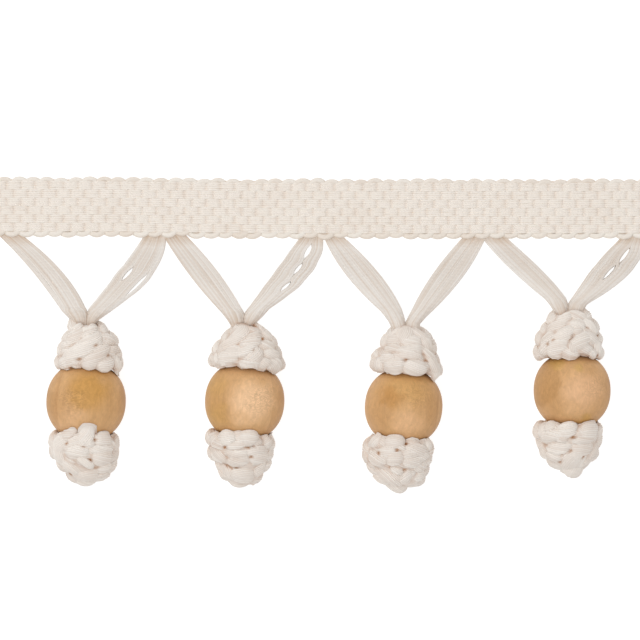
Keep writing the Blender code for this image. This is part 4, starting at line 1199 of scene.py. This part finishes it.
def under_lobes(outline, rim, tip, lift, draw):
    """The plain layer of bundles under a knot's lobes, in staggered rows. Their number follows the
    outline, and the lift then moves them."""
    bundles = []
    for row, up in enumerate(row_heights(rim, tip, UNDER_ROW_SPACING)):
        radius = np.interp(up, outline["up"], outline["radius"])
        count = max(UNDER_LEAST, round(2 * math.pi * radius / UNDER_ARC))
        for place in range(count):
            turn = 2 * math.pi * (place + 0.5 * (row % 2)) / count
            tilt = UNDER_TILT * draw.choice((-1, 1))
            bundles.append(lobe(outline, turn, up + lift, tilt, UNDER_LOBE, UNDER_FINENESS, draw))
    return bundles


def flank_lobes(outline, rim, tip, draw):
    """A column of bundles on each flank of a knot."""
    bundles = []
    for side in (-1, 1):
        turn = side * math.radians(FLANK_TURN)
        for up in row_heights(rim, tip, FLANK_ROW_SPACING):
            bundles.append(lobe(outline, turn, up, side * FLANK_TILT, FLANK_LOBE, OTHER_FINENESS, draw))
    return bundles


def tip_lobe(across, up, tilt, long, wide, out, draw):
    """The round bundle that closes a lower knot's tip."""
    rod = {"up": np.array((-TIP_ROD, TIP_ROD)), "radius": np.full(2, TIP_BEND),
           "aside": np.full(2, across), "slope": np.zeros(2)}
    size = (long / LOBE_LONGER, wide / LOBE_WIDER, 0.0)
    part = lobe(rod, 0.0, up, tilt, size, FRONT_FINENESS, draw)
    part["points"][:, 2] += out + wide * LOBE_THICK_SHARE / 2 - TIP_BEND
    return part


def gap_bottoms(outline, points, faces, gaps):
    """The deepest place that shows from above near each small gap, and that isn't too deep."""
    tree = BVHTree.FromPolygons(points.tolist(), faces)
    steps = np.linspace(-GAP_SEARCH, GAP_SEARCH, GAP_STEPS)
    around = [(x, y) for x in steps for y in steps if math.hypot(x, y) <= GAP_SEARCH]
    bottoms = []
    for across, up in gaps:
        above = outline["radius"].max() + GAP_ABOVE
        seen = [tree.ray_cast((across + x, up + y, above), (0, 0, -1))[0] for x, y in around]
        seen = np.array([spot for spot in seen if spot])
        depth = depth_under(outline, seen)
        bottoms.append(seen[np.argmax(np.where(depth < GAP_DEEPEST, depth, -np.inf))])
    return bottoms


def open_gaps(points, shade, bottoms):
    """Sinks the yarn at the bottom of each small gap and paints it darker with shade, and what lies close
    under it.
    """
    for bottom in bottoms:
        away = points - bottom
        away[:, 2] *= np.where(away[:, 2] < 0, GAP_BELOW, 1.0)
        near = np.exp(-((away ** 2).sum(1) / GAP_REACH ** 2) ** 2)
        points[:, 2] -= GAP_DEPTH * near
        shade += GAP_SHADE * near


def knot(which, number, drop, rows, lobes, gaps, material, draw):
    """A whole upper or lower knot in one piece: its core and all its bundles. What lies against the
    ball is laid over its face last."""
    lower = which == "lower"
    outline = knot_outline(drop, rows)
    rim, tip = rows[0][0], rows[-1][0]
    parts = [knot_core(drop, outline, lower)]
    parts += shown_lobes(outline, lobes, draw)
    parts += under_lobes(outline, rim, tip, 0.0 if lower else UPPER_UNDER_LIFT, draw)
    parts += flank_lobes(outline, rim, tip, draw)
    if lower:
        parts.append(tip_lobe(*TIP_LOBES[number], draw))
    start = 0
    faces = []
    for part in parts:
        faces += [tuple(start + i for i in face) for face in part["faces"]]
        start += len(part["points"])
    local, shade, rounds, alongs = (np.concatenate([part[key] for part in parts])
                                    for key in ("points", "shade", "round", "along"))
    shade = shade + crease_shade(local, depth_under(outline, local))
    open_gaps(local, shade, gap_bottoms(outline, local, faces, gaps))
    core_size = len(parts[0]["points"])
    local[core_size:] = clear_ball(drop, local[core_size:])
    attributes = [("round", "FLOAT_VECTOR", rounds), ("along", "FLOAT", alongs), ("shade", "FLOAT", shade)]
    name = "%s_knot_yarn_%d" % (which, number + 1)
    return from_mesh_data(name, place_drop(drop, local), faces, material, attributes)


def ball(number, drop, material):
    """A turned ball with its bore, its rim eased by the turner."""
    radius = drop["radius"]
    edge = math.acos(((BORE_RADIUS + BORE_LIP) / radius) ** (SHOULDER_POWER / 2))
    angles = np.linspace(-edge, edge, BALL_BANDS + 1)
    outs = radius * np.cos(angles) ** (2 / SHOULDER_POWER)
    ups = np.copysign(radius * np.abs(np.sin(angles)) ** (2 / SHOULDER_POWER), angles)
    lip = [(BORE_RADIUS + BORE_LIP * LIP_EASE[0], ups[-1] - BORE_LIP * LIP_EASE[1]),
           (BORE_RADIUS, ups[-1] - BORE_LIP)]
    profile = list(zip(outs, ups)) + lip + [(out, -up) for out, up in reversed(lip)]
    points = np.concatenate([level_ring(out, up, BALL_SEGMENTS) for out, up in profile])
    faces = []
    for row in range(len(profile)):
        after = (row + 1) % len(profile)
        faces += ring_faces(row * BALL_SEGMENTS, after * BALL_SEGMENTS, BALL_SEGMENTS)
    faces = [face[::-1] for face in faces]
    return from_mesh_data("turned_ball_%d" % (number + 1), place_drop(drop, points), faces, material)


def finish_piece(piece, body, slot, *nodes):
    """Turns a piece's faces outwards, puts it on its body and hides the nodes it stands for. The slot, its
    finish, is not used.
    """
    shape = bmesh.new()
    shape.from_mesh(piece.data)
    bmesh.ops.recalc_face_normals(shape, faces=shape.faces)
    shape.to_mesh(piece.data)
    shape.free()
    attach(piece, body)
    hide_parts(*nodes)


def build_tape(yarn_tree):
    """The woven heading: one laid sheet with its yarns and edge loops on it."""
    draw = np.random.default_rng(TAPE_SEED)
    warp = cotton("woven_cotton_warp")
    weft = cotton("cotton_weft")
    rows = warp_tree()
    ground = tape_ground(weft)
    yarns = [
        warp_layer("tape_warp_face", rows, WARP_FACE_LEVEL, WARP_DIP, 0.0, WARP_FACE_FINENESS, warp),
        warp_layer("tape_warp_back", rows, WARP_BACK_LEVEL, -WARP_DIP, 0.5, WARP_BACK_FINENESS, warp),
        weft_picks(yarn_tree, weft),
        edge_loops("tape_top_loops", TOP_NOTCH, TOP_LOOP, TOP_LOOP_RADIUS, yarn_tree, weft, draw),
        edge_loops("tape_bottom_loops", BOTTOM_NOTCH, BOTTOM_LOOP, BOTTOM_LOOP_RADIUS, yarn_tree,
                   weft, draw),
    ]
    for piece in [drift_tape(ground)] + yarns:
        finish_piece(piece, "root", "cotton_heading", "heading_tape")


def build_drop(number, drop, yarn_tree, ribbon_cotton, knot_cotton):
    """One drop: its two ribbons, its two knots and its ball."""
    draw = np.random.default_rng(DROP_SEED + number)
    tag = number + 1
    for side, word in ((-1, "left"), (1, "right")):
        arm = ribbon(number, drop, side, yarn_tree, ribbon_cotton, draw)
        finish_piece(arm, "root", "cotton_yarn", "ribbon_%d_%s" % (tag, word))
    for which, outlines, lobes, gaps in KNOTS:
        tied = knot(which, number, drop, outlines[number], lobes[number], gaps[number], knot_cotton, draw)
        finish_piece(tied, "root", "cotton_knots", "%s_knot_%d" % (which, tag))
    turned = ball(number, drop, turned_maple(number, drop))
    finish_piece(turned, "ball_%d" % tag, "turned_wood", "ball_%d" % tag)


def add_light(name, place, size, power):
    """A round soft light that shines on the middle of the picture."""
    light = bpy.data.lights.new(name, "AREA")
    light.shape = "DISK"
    light.size = size
    light.energy = power
    lamp = add_object(name, light)
    lamp.location = place
    lamp.rotation_euler = (Vector(LIGHTS_AIM) - Vector(place)).to_track_quat("-Z", "Y").to_euler()


def build_studio():
    """A white paper floor, a broad soft light above, and a weaker one from the upper left."""
    far = PAPER_HALF_SIZE
    corners = [(-far, -far, 0), (far, -far, 0), (far, far, 0), (-far, far, 0)]
    floor = bpy.data.meshes.new("paper_floor")
    floor.from_pydata(corners, [], [(0, 1, 2, 3)])
    floor.materials.append(paper_floor())
    paper = add_object("paper_floor", floor)
    paper.location.z = -PAPER_BELOW
    world = bpy.data.worlds.new("studio")
    bpy.context.scene.world = world
    world.use_nodes = True
    background = world.node_tree.nodes["Background"]
    background.inputs["Color"].default_value = linear("#FFFFFF")
    background.inputs["Strength"].default_value = STUDIO_GLOW
    for light in LIGHTS:
        add_light(*light)
    bpy.context.scene.view_settings.view_transform = "Standard"


def build_camera():
    """The camera, straight above the picture's middle."""
    lens = bpy.data.cameras.new("camera")
    lens.sensor_width = SENSOR_WIDTH
    lens.lens = SENSOR_WIDTH * (CAMERA_HEIGHT - YARN_HEIGHT) / PICTURE_WIDTH
    lens.clip_end = CAMERA_SIGHT
    camera = add_object("camera", lens)
    camera.location = Vector((*PICTURE_MIDDLE, CAMERA_HEIGHT)) * MM
    bpy.context.scene.camera = camera


def build_fringe():
    """The whole fringe: its tape and its drops."""
    yarn_tree = laid_yarn_tree()
    build_tape(yarn_tree)
    ribbon_cotton = cotton("plied_cotton_yarn")
    knot_cotton = cotton("knotted_cotton_yarn")
    for number, drop in enumerate(drop_places()):
        build_drop(number, drop, yarn_tree, ribbon_cotton, knot_cotton)


build_camera()
build_fringe()
build_studio()
